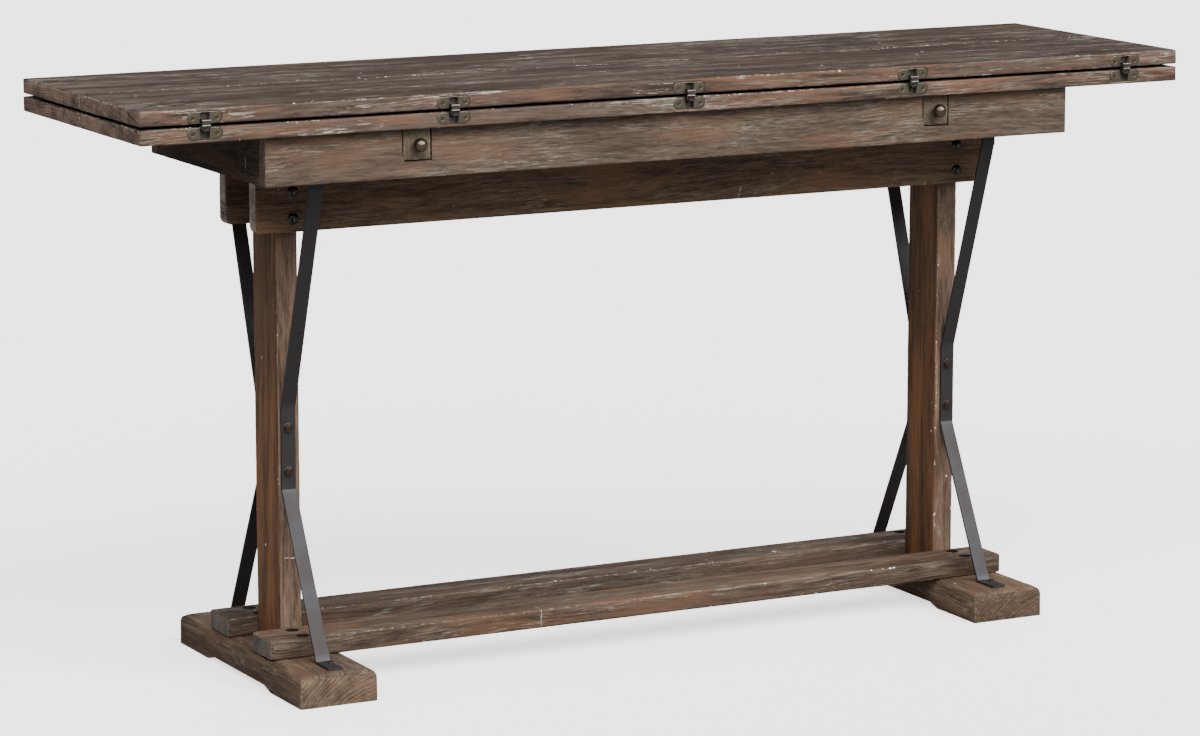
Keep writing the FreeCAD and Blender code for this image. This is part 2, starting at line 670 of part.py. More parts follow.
def make_straps():
    """Flat iron bars, bent out from the post to the foot below and to the bearer above."""
    inside = (
        ("strap_foot_reach + strap_foot_flange", "foot_height"),
        ("strap_foot_reach", "foot_height"),
        ("post_width / 2", "strap_bend_low"),
        ("post_width / 2", "strap_bend_high"),
        ("strap_top_reach", "apron_bottom - strap_top_rise"),
        ("strap_top_reach", "apron_bottom"),
        ("strap_top_reach + strap_top_flange", "apron_bottom"),
    )
    path = [Vector(-value("strap_width") / 2, value(y), value(z)) for y, z in inside]
    band = Part.makePolygon(path).makeOffset2D(value("strap_thickness"), 2, True, True)
    bar = band.extrude(Vector(value("strap_width"), 0, 0))
    middle = value("(strap_bend_low + strap_bend_high) / 2")
    for place in (-1, 1):
        drill = Part.makeCylinder(value("strap_bolt_diameter / 2 + seat_clearance"),
                                  value("post_width"), Vector(0, 0, middle
                                  + place * value("strap_bolt_spread") / 2), Y_AXIS)
        bar = bar.cut(drill)
    for face, along in FACES:
        for name, side in SIDES:
            strap = doc.addObject("Part::Feature", f"{face}_{name}_strap")
            strap.Shape = bar if along > 0 else bar.mirror(Vector(0, 0, 0), Y_AXIS)
            keep(strap, f"{face}_{name}_strap")
            put(strap, x=f"{side} * strap_spacing / 2")


# ---- fasteners ---------------------------------------------------------------------------

def hexagon_outline(sketch, corners_across):
    reach, rise = f"({corners_across}) / 2", f"({corners_across}) / 2 * sqrt(3) / 2"
    outline(sketch, (reach, "0"), (f"{reach} / 2", rise), (f"-{reach} / 2", rise),
            (f"-{reach}", "0"), (f"-{reach} / 2", f"-{rise}"), (f"{reach} / 2", f"-{rise}"))


def hexagon(label, corners_across, height, shank_diameter, shank_length):
    """A hexagon head, with its shank below the head's underside at Z = 0."""
    body = doc.addObject("PartDesign::Body", label)
    head = sketch_on(body, "XY_Plane")
    hexagon_outline(head, corners_across)
    pad(body, head, height)
    shank = sketch_on(body, "XY_Plane")
    circle(shank, "0", "0", shank_diameter)
    pad(body, shank, shank_length, backwards=True)
    return body


def add_nut(body, grip, corners_across, height):
    """The nut, drawn up on its bolt as one piece with it."""
    nut = sketch_on(body, "XY_Plane", f"-{grip}")
    hexagon_outline(nut, corners_across)
    pad(body, nut, height, backwards=True)


def make_fasteners():
    """Bolts, nuts and screws of the trestles, each kind in one node."""
    lag = hexagon("lag_blank", "stretcher_bolt_head", "stretcher_bolt_head_height",
                  "stretcher_bolt_diameter", "stretcher_bolt_length")
    group("stretcher_bolts", [
        (lag, None, (f"{side} * (stretcher_length / 2 - stretcher_bolt_inset)",
                     stretcher_bolt_y(face, place),
                     "foot_height + stretcher_thickness - bolt_recess_depth"))
        for _, side in SIDES for _, face in FACES for place in (-1, 1)])

    rail_grip = "(post_width + 2 * rail_thickness)"
    domed = turned("domed_blank", ("0", f"-{rail_grip}"),
                   ("rail_bolt_diameter / 2", f"-{rail_grip}"), ("rail_bolt_diameter / 2", "0"),
                   ("rail_bolt_head / 2", "0"),
                   ("rail_bolt_head / 2", "rail_bolt_head_height / 3"),
                   ("rail_bolt_head / 3", "rail_bolt_head_height"),
                   ("0", "rail_bolt_head_height"))
    add_nut(domed, rail_grip, "rail_nut_width * 2 / sqrt(3)", "rail_nut_height")
    group("rail_bolts", [
        (domed, (X_AXIS, 90), (f"{side} * post_spacing / 2", f"-{rail_grip} / 2",
                               f"rail_bottom + rail_bolt_lift + {place} * rail_bolt_pitch"))
        for _, side in SIDES for place in (0, 1)])

    strap_grip = "(post_width + 2 * strap_thickness)"
    strap_bolt = hexagon("strap_bolt_blank", "strap_bolt_head", "strap_bolt_head_height",
                         "strap_bolt_diameter", strap_grip)
    add_nut(strap_bolt, strap_grip, "strap_bolt_head", "strap_bolt_head_height")
    middle = "(strap_bend_low + strap_bend_high) / 2"
    group("strap_bolts", [
        (strap_bolt, (X_AXIS, 90), (f"{side} * strap_spacing / 2", f"-{strap_grip} / 2",
                                    f"{middle} + {place} * strap_bolt_spread / 2"))
        for _, side in SIDES for place in (-1, 1)])


# ---- hinges ------------------------------------------------------------------------------

def make_cup(label, number, up):
    """A hinge cup: pill-shaped plate, cup body, slot for the links and holes for its pin."""
    cup = keep(doc.addObject("PartDesign::Body", label), label)
    plate = sketch_on(cup, "XZ_Plane")
    pill(plate, "0", "0", "plate_length", "plate_height")
    pad(cup, plate, "plate_thickness", backwards=True)
    back = sketch_on(cup, "XZ_Plane")
    rectangle(back, "0", "0", "cup_width", "plate_height")
    pad(cup, back, "cup_depth", backwards=True)
    slot = sketch_on(cup, "XZ_Plane")
    rectangle(slot, "0", "0", "slot_width", "slot_height")
    pocket(cup, slot, "slot_depth")
    pin = sketch_on(cup, "YZ_Plane")
    circle(pin, "link_pivot_inset - edge_gap / 2", "plate_rise - link_pivot_inset",
           "link_pin_diameter + 2 * seat_clearance")
    pocket(cup, pin, "link_pin_length", side="Symmetric")
    turn = (Y_AXIS, 180) if up else None
    put(cup, x=hinge_place(number), y="-top_depth / 2",
        z=f"fold_line_height {'+' if up else '-'} plate_rise", turn=turn)


def make_link(label, number, up, width, web_step=None):
    """A hinge link: two cheeks on a pin, bent round the leaves' edges, with a web across
    their far half. Its origin is the folding line; its pivot lies behind and below it.
    The wide link's web stands further out by the step, and it carries the rivet's heads."""
    far_face = f"(link_reach + {web_step})" if web_step else "link_reach"
    shoulder = ((f"-{far_face}", "0"), ("-link_reach", "0")) if web_step else ()
    link = keep(doc.addObject("PartDesign::Body", label), label)
    heel = "(link_pivot_inset + link_arm / 2)"
    throat = "(link_reach - link_arm)"
    pivot_top = "(link_arm / 2 - link_pivot_inset)"
    cheek = sketch_on(link, "YZ_Plane")
    outline(cheek, (heel, f"-{heel}", "link_arm * 0.45"),
            (heel, pivot_top, "link_arm * 0.45"), (f"-{throat}", pivot_top),
            (f"-{throat}", "link_far_end - link_arm * 1.25"),
            ("link_tail", "link_far_end - link_arm"), ("link_tail", "link_far_end"),
            (f"-{far_face}", "link_far_end", "link_arm * 0.8"), *shoulder,
            ("-link_reach", f"-{heel}", "link_arm * 0.9"))
    pad(link, cheek, width, side="Symmetric")
    if web_step:
        rivet = sketch_on(link, "YZ_Plane")
        circle(rivet, "-(link_reach - link_arm / 2)", "0", "link_rivet_diameter")
        pad(link, rivet, f"{width} + 2 * link_rivet_height", side="Symmetric")
    hollow = sketch_on(link, "YZ_Plane")
    web_inside = f"({far_face} - link_web)"
    outline(hollow, (f"{heel} + link_arm", f"-{heel} - link_arm"),
            (f"{heel} + link_arm", "link_far_end + link_arm"),
            (f"-{web_inside}", "link_far_end + link_arm"),
            (f"-{web_inside}", "-link_web / 4"),
            ("-(link_reach + link_arm)", "-link_web / 4"),
            ("-(link_reach + link_arm)", f"-{heel} - link_arm"))
    pocket(link, hollow, f"{width} - 2 * link_web", side="Symmetric")
    bore = sketch_on(link, "YZ_Plane")
    circle(bore, "link_pivot_inset", "-link_pivot_inset",
           "link_pin_diameter + 2 * link_pin_clearance")
    pocket(link, bore, side="Symmetric")
    turn = (Y_AXIS, 180) if up else None
    put(link, x=hinge_place(number), y="fold_line_front", z="fold_line_height", turn=turn)


def make_hinges():
    for number in HINGES:
        make_cup(f"lower_hinge_cup_{number + 1}", number, up=False)
        make_cup(f"upper_hinge_cup_{number + 1}", number, up=True)
        make_link(f"outer_link_{number + 1}", number, False, "outer_link_width",
                  "(link_web + web_slack)")
        make_link(f"inner_link_{number + 1}", number, True, "inner_link_width")

    pin = turned("pin_blank", ("0", "-link_pin_length / 2"),
                 ("link_pin_diameter / 2", "-link_pin_length / 2"),
                 ("link_pin_diameter / 2", "link_pin_length / 2"), ("0", "link_pin_length / 2"))
    for name, sign in (("lower", "-"), ("upper", "+")):
        group(f"{name}_pivot_pins", [
            (pin, (Y_AXIS, 90), (hinge_place(number), "fold_line_front + link_pivot_inset",
                                 f"fold_line_height {sign} link_pivot_inset"))
            for number in HINGES])


# ---- the table ---------------------------------------------------------------------------

leaf("fixed_top", "leaf_underside", "leaf_thickness - (plate_rise - leaf_gap / 2)")
leaf("flip_top", "flip_leaf_underside", "plate_rise - leaf_gap / 2")
make_bumpers()
make_apron()
make_corner_blocks()
make_bearers()
make_loper_guides()
make_lopers()
make_feet()
make_posts()
make_stretchers()
make_rails()
make_straps()
make_fasteners()
make_hinges()
doc.recompute()

for item in doc.Objects:
    if "Invalid" in item.State or "Error" in item.State:
        raise RuntimeError(f"{item.Name} failed: {item.State}")
for part in PARTS:
    if part.Shape.isNull() or not part.Shape.isValid():
        raise RuntimeError(f"{part.Label} has no valid shape")

os.makedirs("parts", exist_ok=True)
for part in PARTS:
    part.Shape.exportStep(f"parts/{part.Label}.step")
print(f"{len(PARTS)} sub-parts written")
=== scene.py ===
import json
import math

import bmesh
import bpy
from mathutils import Euler, Matrix, Vector, noise

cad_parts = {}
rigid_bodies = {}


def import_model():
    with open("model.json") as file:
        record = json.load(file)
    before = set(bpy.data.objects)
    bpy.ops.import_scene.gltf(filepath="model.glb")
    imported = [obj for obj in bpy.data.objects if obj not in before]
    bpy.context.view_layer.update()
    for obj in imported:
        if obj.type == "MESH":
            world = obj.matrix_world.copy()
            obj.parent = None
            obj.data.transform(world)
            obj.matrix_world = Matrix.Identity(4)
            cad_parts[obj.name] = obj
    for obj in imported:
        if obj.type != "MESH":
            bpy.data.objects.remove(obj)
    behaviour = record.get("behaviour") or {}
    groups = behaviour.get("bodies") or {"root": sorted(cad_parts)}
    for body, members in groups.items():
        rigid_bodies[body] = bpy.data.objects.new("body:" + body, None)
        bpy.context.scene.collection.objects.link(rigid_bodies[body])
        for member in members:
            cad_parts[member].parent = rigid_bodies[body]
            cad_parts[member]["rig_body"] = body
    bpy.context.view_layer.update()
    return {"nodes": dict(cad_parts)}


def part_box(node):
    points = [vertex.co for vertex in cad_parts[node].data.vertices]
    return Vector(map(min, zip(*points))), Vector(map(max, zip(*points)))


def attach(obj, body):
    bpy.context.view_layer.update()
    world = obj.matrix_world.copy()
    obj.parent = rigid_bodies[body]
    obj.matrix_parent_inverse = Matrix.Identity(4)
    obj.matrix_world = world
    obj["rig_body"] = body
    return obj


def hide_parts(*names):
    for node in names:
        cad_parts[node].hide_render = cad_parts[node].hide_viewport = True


bl_info = {
    "name": "Folding console table",
    "version": (1, 0, 0),
    "blender": (4, 5, 0),
    "location": "3D View > Sidebar > Console table",
    "description": "Dresses the packed solids of a flip-top console table in worn wood and old iron",
    "category": "Object",
}

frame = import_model()

MM = 0.001
ALONG_X, ALONG_Y, ALONG_Z = 0, 1, 2
TURN_TO_X = {
    ALONG_X: (0.0, 0.0, 0.0),
    ALONG_Y: (0.0, 0.0, -math.pi / 2),
    ALONG_Z: (0.0, math.pi / 2, 0.0),
}
FORWARDS, BACKWARDS, UP, DOWN = (0, -1, 0), (0, 1, 0), (0, 0, 1), (0, 0, -1)
SIDES = ("left", "right")
STRAPS = ("front_left_strap", "front_right_strap", "back_left_strap", "back_right_strap")
HINGES = range(1, 6)

# Points nearer than this are one point.
TOUCHING = 1e-6
# Faces that meet at less than this are one flat face.
NEARLY_FLAT = math.radians(0.5)
# How squarely a face has to look along an axis to count as facing that way.
SQUARE_ON, MOSTLY = 0.8, 0.6


# --- Sizes and colours that a user may change ---------------------------------------------------


def colour(name, description, default):
    return bpy.props.FloatVectorProperty(
        name=name, description=description, default=default, size=3, min=0, max=1, subtype="COLOR"
    )


def length(name, description, default):
    return bpy.props.FloatProperty(
        name=name, description=description, default=default, min=0, unit="LENGTH", subtype="DISTANCE"
    )


def amount(name, description, default):
    return bpy.props.FloatProperty(name=name, description=description, default=default, min=0)


class WoodSettings(bpy.types.PropertyGroup):
    """How the boards are cut up, worn and coloured."""

    slice_along: length("Slice along", "Spacing of the cuts across the grain", 0.005)
    slice_across: length("Slice across", "Spacing of the cuts along the grain", 0.022)
    edge_strip: length("Edge strip", "Width of the strip that wears along an edge", 0.0032)
    rounding: length("Rounding", "How far every edge is worn back", 0.0004)
    nick_depth: length("Nick depth", "Depth of the deepest nicks in an edge", 0.0011)
    sway: length("Sway", "Unevenness of the flat faces", 0.00025)
    foot_roll: length("Foot roll", "Rounding round the top of the feet", 0.011)
    wash: colour("Wash", "Whitewash left in the open grain", (0.42, 0.37, 0.30))
    filler: colour("Filler", "Pale specks of filler", (0.66, 0.61, 0.53))


class MetalSettings(bpy.types.PropertyGroup):
    """Colours of the hinges, straps and bolts."""

    iron: colour("Iron", "Flat bar of the straps", (0.044, 0.043, 0.046))
    rust: colour("Rust", "Brown bloom on the iron", (0.060, 0.036, 0.022))
    bronze: colour("Bronze", "Hinge plates", (0.165, 0.143, 0.110))
    verdigris: colour("Verdigris", "Grey-green bloom on the bronze", (0.125, 0.118, 0.092))
    brass: colour("Brass", "Small countersunk screws", (0.125, 0.086, 0.045))
    steel: colour("Steel", "Wide links of the hinges", (0.095, 0.083, 0.068))
    rubbed: colour("Rubbed steel", "Lips of the links, worn bright", (0.075, 0.067, 0.056))
    # Tarnish of the links and slots, and the dark of the narrow links, which is partly darker metal
    # and partly painted shade.
    tarnish_and_shade: colour("Tarnish", "Narrow links of the hinges", (0.035, 0.032, 0.028))
    slot: colour("Slot", "Inside of the hinge cups", (0.150, 0.128, 0.104))
    brown: colour("Brown", "Strap bolts and screws", (0.058, 0.046, 0.038))
    black: colour("Black", "Bolt heads", (0.045, 0.043, 0.042))
    pewter: colour("Pewter", "Knobs", (0.145, 0.115, 0.082))
    arris: length("Arris", "Rounding of the metal edges", 0.00035)
    plate_rim: length("Plate rim", "Rounding of the hinge plates' outline", 0.0009)


class StageSettings(bpy.types.PropertyGroup):
    """Camera, floor and light."""

    camera_place: bpy.props.FloatVectorProperty(
        name="Camera place", description="Where the camera stands", size=3,
        default=(-2.728, -5.180, 1.427), subtype="TRANSLATION", unit="LENGTH",
    )
    camera_turn: bpy.props.FloatVectorProperty(
        name="Camera turn", description="Turn of the camera", size=3,
        default=(math.pi / 2 - 0.18, 0.0, -0.481), subtype="EULER", unit="ROTATION",
    )
    focal_length: bpy.props.FloatProperty(
        name="Focal length", description="Focal length on a 36 mm sensor, in millimetres",
        default=132.28, min=1,
    )
    floor_size: length("Floor size", "Side of the square floor", 60.0)
    floor_colour: colour("Floor colour", "Plain pale floor", (0.92, 0.92, 0.92))
    floor_bounce: colour("Floor bounce", "How much light the floor sends back up", (0.30, 0.30, 0.30))
    floor_glow: amount("Floor glow", "How much paler than its paint the floor looks", 1.6)
    sky_strength: amount("Sky strength", "Even light from all round", 0.22)
    backdrop_strength: amount("Backdrop strength", "How pale the space behind the table looks", 3.2)
    front_strength: amount("Front strength", "Very large soft light in front", 4.3)
    right_strength: amount("Right strength", "Soft light from the right and above", 2.2)
    left_strength: amount("Left strength", "Soft light from the left and above", 0.9)
    back_strength: amount("Back strength", "Weak light from behind, without shine", 1.1)


# --- Node trees -----------------------------------------------------------------------------------


class Tree:
    """Places and joins the nodes of one material or node group."""

    def __init__(self, tree):
        self.tree = tree

    def add(self, kind, values=None, **settings):
        node = self.tree.nodes.new(kind)
        for key, value in settings.items():
            setattr(node, key, value)
        for key, value in (values or {}).items():
            self.feed(node.inputs[key], value)
        return node

    def feed(self, socket, value):
        if isinstance(value, bpy.types.NodeSocket):
            self.tree.links.new(value, socket)
        else:
            socket.default_value = value

    def math(self, operation, first, second=0.0, third=0.0):
        values = {0: first, 1: second, 2: third}
        return self.add("ShaderNodeMath", values, operation=operation).outputs[0]

    def plus(self, first, second):
        return self.math("ADD", first, second)

    def minus(self, first, second):
        return self.math("SUBTRACT", first, second)

    def times(self, first, second):
        return self.math("MULTIPLY", first, second)

    def times_plus(self, first, second, third):
        return self.math("MULTIPLY_ADD", first, second, third)

    def larger(self, first, second):
        return self.math("MAXIMUM", first, second)

    def vector(self, operation, first, second):
        return self.add("ShaderNodeVectorMath", {0: first, 1: second}, operation=operation).outputs[0]

    def triple(self, x, y, z):
        return self.add("ShaderNodeCombineXYZ", {0: x, 1: y, 2: z}).outputs[0]

    def noise(self, place, waves, detail=2.0, roughness=0.5, warp=0.0):
        """Noise with its own number of waves a metre along each axis."""
        values = {
            "Vector": self.vector("MULTIPLY", place, waves),
            "Scale": 1.0, "Detail": detail, "Roughness": roughness, "Distortion": warp,
        }
        return self.add("ShaderNodeTexNoise", values).outputs

    def grain(self, place, along, across, detail, roughness=0.5, warp=0.0):
        """Grey noise drawn out along X, from its waves a metre along and across."""
        return self.noise(place, (along, across, across), detail, roughness, warp)["Fac"]

    def drift(self, place, along, across, detail, reach, roughness=0.5):
        """An uneven shift, of up to half the reach each way."""
        raw = self.noise(place, (along, across, across), detail, roughness)["Color"]
        return self.vector("MULTIPLY", self.vector("SUBTRACT", raw, (0.5, 0.5, 0.5)), reach)

    def cells(self, place):
        """Scattered points: distance, place and three chances for each."""
        cell = self.add("ShaderNodeTexVoronoi", {"Vector": place, "Scale": 1.0, "Randomness": 1.0})
        chances = self.add("ShaderNodeSeparateColor", {0: cell.outputs["Color"]}).outputs
        return cell.outputs["Distance"], cell.outputs["Position"], chances

    def step(self, value, low, high, least=0.0, most=1.0):
        values = {"Value": value, "From Min": low, "From Max": high, "To Min": least, "To Max": most}
        return self.add("ShaderNodeMapRange", values, interpolation_type="SMOOTHSTEP").outputs[0]

    def mix(self, factor, first, second, blend="MIX"):
        values = {0: factor, 6: first, 7: second}
        return self.add("ShaderNodeMix", values, data_type="RGBA", blend_type=blend).outputs[2]


FLOAT, COLOUR, VECTOR = "NodeSocketFloat", "NodeSocketColor", "NodeSocketVector"
# What every group puts out.
SURFACE = {"Color": COLOUR, "Roughness": FLOAT, "Height": FLOAT}


def new_group(name, colours, amounts, places=()):
    """A shader node group with its named sockets, a Tree to fill it, and what comes in."""
    group = bpy.data.node_groups.new(name, "ShaderNodeTree")
    for socket_name in ("Place", *places):
        group.interface.new_socket(socket_name, in_out="INPUT", socket_type=VECTOR)
    for kind, sockets in ((COLOUR, colours), (FLOAT, {"Edge": 0.0, **amounts})):
        for socket_name, default in sockets.items():
            socket = group.interface.new_socket(socket_name, in_out="INPUT", socket_type=kind)
            socket.default_value = default
    for socket_name, kind in SURFACE.items():
        group.interface.new_socket(socket_name, in_out="OUTPUT", socket_type=kind)
    tree = Tree(group)
    return group, tree, tree.add("NodeGroupInput").outputs


def rgba(colour_value):
    return (*colour_value, 1.0)


def weathered_grain_group():
    """Brown wood whose grain runs along X, with whitewash in its pores and filler on its edges."""
    group, t, given = new_group(
        "Weathered grain",
        {"Dark": (0.03, 0.02, 0.015, 1), "Mid": (0.09, 0.06, 0.045, 1), "Warm": (0.15, 0.07, 0.04, 1),
         "Wash": (0.5, 0.45, 0.4, 1), "Filler": (0.7, 0.65, 0.6, 1)},
        {"Board": 0.0, "Warmth": 0.4, "Whitewash": 0.4, "Scuffs": 0.3, "Specks": 0.5,
         "Edge wash": 0.5, "Figure": 0.5, "Scratches": 0.05, "Shortness": 1.0, "Unevenness": 0.8},
    )
    # Each board has its own stretch of pattern, and the grain sways a little along it.
    board = given["Board"]
    shift = t.vector("MULTIPLY", t.triple(board, board, board), (7.31, 3.17, 5.71))
    moved = t.vector("ADD", given["Place"], shift)
    sway = t.drift(moved, 1.6, 7, 1, (0.0, 0.035, 0.035))
    ripple = t.drift(moved, 9, 22, 2, (0.0, 0.006, 0.006))
    place = t.vector("ADD", t.vector("ADD", moved, sway), ripple)
    place = t.vector("MULTIPLY", place, t.triple(given["Shortness"], 1.0, 1.0))

    streaks = t.grain(place, 3.2, 130, 6, 0.76)
    fibres = t.grain(place, 18, 290, 4, 0.80)
    pores = t.grain(place, 17, 560, 4, 0.80)
    colour_now = bare_wood(t, given, place, streaks, fibres)
    colour_now = smoke_and_figure(t, given, moved, place, streaks, colour_now)

    # Whitewash stays in the open pores, and only in some stretches of a board.
    patches = t.grain(place, 3.6, 44, 4, 0.66)
    wash = t.times(t.step(pores, 0.46, 0.68), t.step(patches, 0.40, 0.66))
    colour_now = t.mix(t.times(wash, given["Whitewash"]), colour_now, given["Wash"])
    scuff_grain = t.grain(place, 26, 360, 4, 0.75, 0.4)
    scuff_place = t.grain(place, 5, 34, 3, 0.6)
    scuffs = t.times(t.step(scuff_grain, 0.54, 0.62), t.step(scuff_place, 0.54, 0.63))
    colour_now = t.mix(t.times(scuffs, given["Scuffs"]), colour_now, given["Filler"])

    pale = t.larger(specks(t, given, moved), scratches(t, given, moved))
    pale = t.larger(pale, rubbed_edges(t, given, moved))
    colour_now = t.mix(pale, colour_now, given["Filler"])

    height = t.times_plus(fibres, 0.45, t.times(streaks, 0.6))
    height = t.minus(height, t.times(t.step(pores, 0.55, 0.72), 0.25))
    height = t.minus(height, t.times(pale, 0.3))
    rough = t.times_plus(pores, 0.25, 0.52)
    t.add("NodeGroupOutput", {"Color": colour_now, "Roughness": rough, "Height": height})
    return group


def bare_wood(t, given, place, streaks, fibres):
    """Dark and mid brown in streaks and fibres, with warmer stretches."""
    tone = t.grain(place, 1.7, 11, 4, 0.6)
    depth = t.plus(t.times_plus(streaks, 1.0, -0.50), t.times(t.minus(tone, 0.5), given["Unevenness"]))
    depth = t.times_plus(fibres, 1.3, depth)
    brown = t.mix(t.step(depth, 0.36, 0.94), given["Dark"], given["Mid"])
    warm_place = t.grain(place, 3, 32, 5, 0.68)
    return t.mix(t.times(t.step(warm_place, 0.46, 0.62), given["Warmth"]), brown, given["Warm"])


def smoke_and_figure(t, given, moved, place, streaks, colour_now):
    """Darkens cloudy stretches and the lines of the cut growth rings."""
    figure = t.grain(place, 0.9, 15, 1, 0.4)
    rings = t.times_plus(t.math("SINE", t.times(figure, 110.0)), 0.5, 0.5)
    rings = t.times(t.step(rings, 0.35, 0.98), given["Figure"])
    rings = t.times(rings, t.step(streaks, 0.35, 0.6))
    smoke_place = t.grain(moved, 5, 20, 4, 0.62)
    smoke = t.times(t.step(smoke_place, 0.52, 0.72), t.times(given["Unevenness"], 0.45))
    return t.mix(t.larger(smoke, t.times(rings, 0.5)), colour_now, given["Dark"])


def scratches(t, given, moved):
    """A few pale scratches across the grain, each wavering a little."""
    wobble = t.drift(moved, 60, 60, 2, (0.14, 0.0, 0.0))
    spread = t.vector("ADD", t.vector("MULTIPLY", moved, (17.0, 26.0, 26.0)), wobble)
    _, middle, chances = t.cells(spread)
    away = t.vector("ABSOLUTE", t.vector("SUBTRACT", spread, middle), (0, 0, 0))
    away = t.add("ShaderNodeSeparateXYZ", {0: away}).outputs
    reach = t.larger(away[1], away[2])
    drawn = t.times(t.step(away[0], 0.014, 0.005), t.step(reach, 0.36, 0.22))
    drawn = t.times(drawn, t.math("LESS_THAN", chances[0], given["Scratches"]))
    return t.times(drawn, t.step(t.grain(moved, 300, 300, 3, 0.7), 0.40, 0.60, 0.0, 0.75))


def specks(t, given, moved):
    """Small pits of filler, most of them in clusters along the edges."""
    distance, _, chances = t.cells(t.vector("MULTIPLY", moved, (170.0, 210.0, 210.0)))
    likely = t.times_plus(given["Edge"], 0.55, 0.020)
    likely = t.times(likely, t.step(t.grain(moved, 9, 9, 3, 0.6), 0.44, 0.64))
    lucky = t.math("GREATER_THAN", t.times(likely, given["Specks"]), chances[0])
    size = t.times_plus(t.math("POWER", chances[1], 3.0), 0.32, 0.09)
    return t.times(t.math("LESS_THAN", distance, size), lucky)


def rubbed_edges(t, given, moved):
    """Filler in broken lines along the edges, and in longer ones along a glued seam."""
    broken = t.step(t.grain(moved, 120, 330, 4, 0.75), 0.52, 0.60)
    rubbed = t.times(broken, t.step(given["Edge"], 0.35, 0.9))
    seam = t.larger(t.minus(given["Edge"], 1.0), 0.0)
    stretches = t.times_plus(seam, 0.14, t.grain(moved, 7, 9, 3, 0.6))
    rubbed = t.times(rubbed, t.step(stretches, 0.47, 0.64))
    return t.times(rubbed, given["Edge wash"])


def end_grain_group():
    """The cut end of a board: growth rings round a heart, open pores, and wash in them."""
    group, t, given = new_group(
        "End grain",
        {"Dark": (0.05, 0.03, 0.02, 1), "Mid": (0.15, 0.11, 0.08, 1), "Filler": (0.6, 0.55, 0.5, 1)},
        {"Board": 0.0, "Ring pitch": 0.003, "Whitewash": 0.4},
        places=("Heart",),
    )
    bend = t.drift(given["Place"], 14, 14, 3, (0.0, 0.016, 0.016), 0.55)
    place = t.vector("ADD", given["Place"], bend)
    across = t.vector("MULTIPLY", t.vector("SUBTRACT", place, given["Heart"]), (0.0, 1.0, 1.0))
    radius = t.add("ShaderNodeVectorMath", {0: across}, operation="LENGTH").outputs["Value"]
    years = t.grain(t.triple(radius, 0.0, 0.0), 90, 1, 2)
    turns = t.math("DIVIDE", t.times_plus(years, 0.016, radius), given["Ring pitch"])
    ring = t.math("FRACT", t.plus(turns, t.times(given["Board"], 0.37)))
    late_wood = t.times(t.step(ring, 0.30, 0.90), t.step(ring, 1.0, 0.90))
    blotch = t.grain(place, 30, 30, 4, 0.6)
    pores = t.grain(place, 900, 900, 2, 0.6)
    light = t.minus(t.times(blotch, 1.3), t.times(late_wood, 0.24))
    light = t.times_plus(pores, 0.5, t.minus(light, 0.25))
    colour_now = t.mix(t.step(light, 0.15, 0.85), given["Dark"], given["Mid"])
    chalk = t.noise(place, (60, 120, 220), 5, 0.75)["Fac"]
    wash = t.times(t.step(chalk, 0.50, 0.74), given["Whitewash"])
    rub = t.noise(given["Place"], (120, 90, 120), 3, 0.7)["Fac"]
    rubbed = t.times(t.step(rub, 0.54, 0.64), t.step(given["Edge"], 0.4, 0.9))
    colour_now = t.mix(t.larger(wash, t.times(rubbed, 0.65)), colour_now, given["Filler"])
    height = t.times_plus(late_wood, 0.5, t.times(pores, 0.5))
    rough = t.times_plus(blotch, 0.2, 0.62)
    t.add("NodeGroupOutput", {"Color": colour_now, "Roughness": rough, "Height": height})
    return group


def old_metal_group():
    """Metal with a cloudy bloom, fine brushing along X and bright rubbed edges."""
    group, t, given = new_group(
        "Old metal",
        {"Base": (0.1, 0.1, 0.1, 1), "Bloom": (0.06, 0.04, 0.02, 1)},
        {"Bloom share": 0.4, "Bloom waves": 60.0, "Brightening": 0.5, "Gloss": 0.4},
    )
    cloud = t.add("ShaderNodeTexNoise", {"Vector": given["Place"], "Scale": given["Bloom waves"],
                                         "Detail": 5.0, "Roughness": 0.65}).outputs["Fac"]
    brush = t.grain(given["Place"], 60, 1500, 3, 0.6)
    grit = t.grain(given["Place"], 900, 900, 2, 0.6)
    bloom = t.times(t.step(cloud, 0.40, 0.66), given["Bloom share"])
    colour_now = t.mix(bloom, given["Base"], given["Bloom"])
    lift = t.times_plus(brush, 0.5, 0.75)
    lift_colour = t.add("ShaderNodeCombineColor", {0: lift, 1: lift, 2: lift}).outputs[0]
    colour_now = t.mix(1.0, colour_now, lift_colour, "MULTIPLY")
    bright = t.times(t.step(given["Edge"], 0.3, 1.0), given["Brightening"])
    bright = t.times(bright, t.step(cloud, 0.3, 0.6))
    colour_now = t.mix(bright, colour_now, t.mix(1.0, given["Base"], given["Base"], "ADD"))
    rough = t.minus(t.times_plus(cloud, 0.25, given["Gloss"]), 0.18)
    rough = t.times_plus(grit, 0.12, rough)
    height = t.times_plus(grit, 0.5, t.times(brush, 0.35))
    height = t.times_plus(cloud, 0.6, height)
    t.add("NodeGroupOutput", {"Color": colour_now, "Roughness": rough, "Height": height})
    return group


GROUP_MAKERS = {
    "Weathered grain": weathered_grain_group,
    "End grain": end_grain_group,
    "Old metal": old_metal_group,
}


def empty_tree(owner):
    """The cleared node tree of a material or world."""
    owner.use_nodes = True
    owner.node_tree.nodes.clear()
    return Tree(owner.node_tree)


def covered(tree, colour_now, rough, height, depth, **finish):
    """Ends a material's tree in a Principled shader whose relief has a depth in metres."""
    relief = tree.add("ShaderNodeBump", {"Height": height, "Distance": depth, "Strength": 1.0})
    values = {"Base Color": colour_now, "Roughness": rough, "Normal": relief.outputs[0], **finish}
    shader = tree.add("ShaderNodeBsdfPrincipled", values)
    tree.add("ShaderNodeOutputMaterial", {"Surface": shader.outputs[0]})


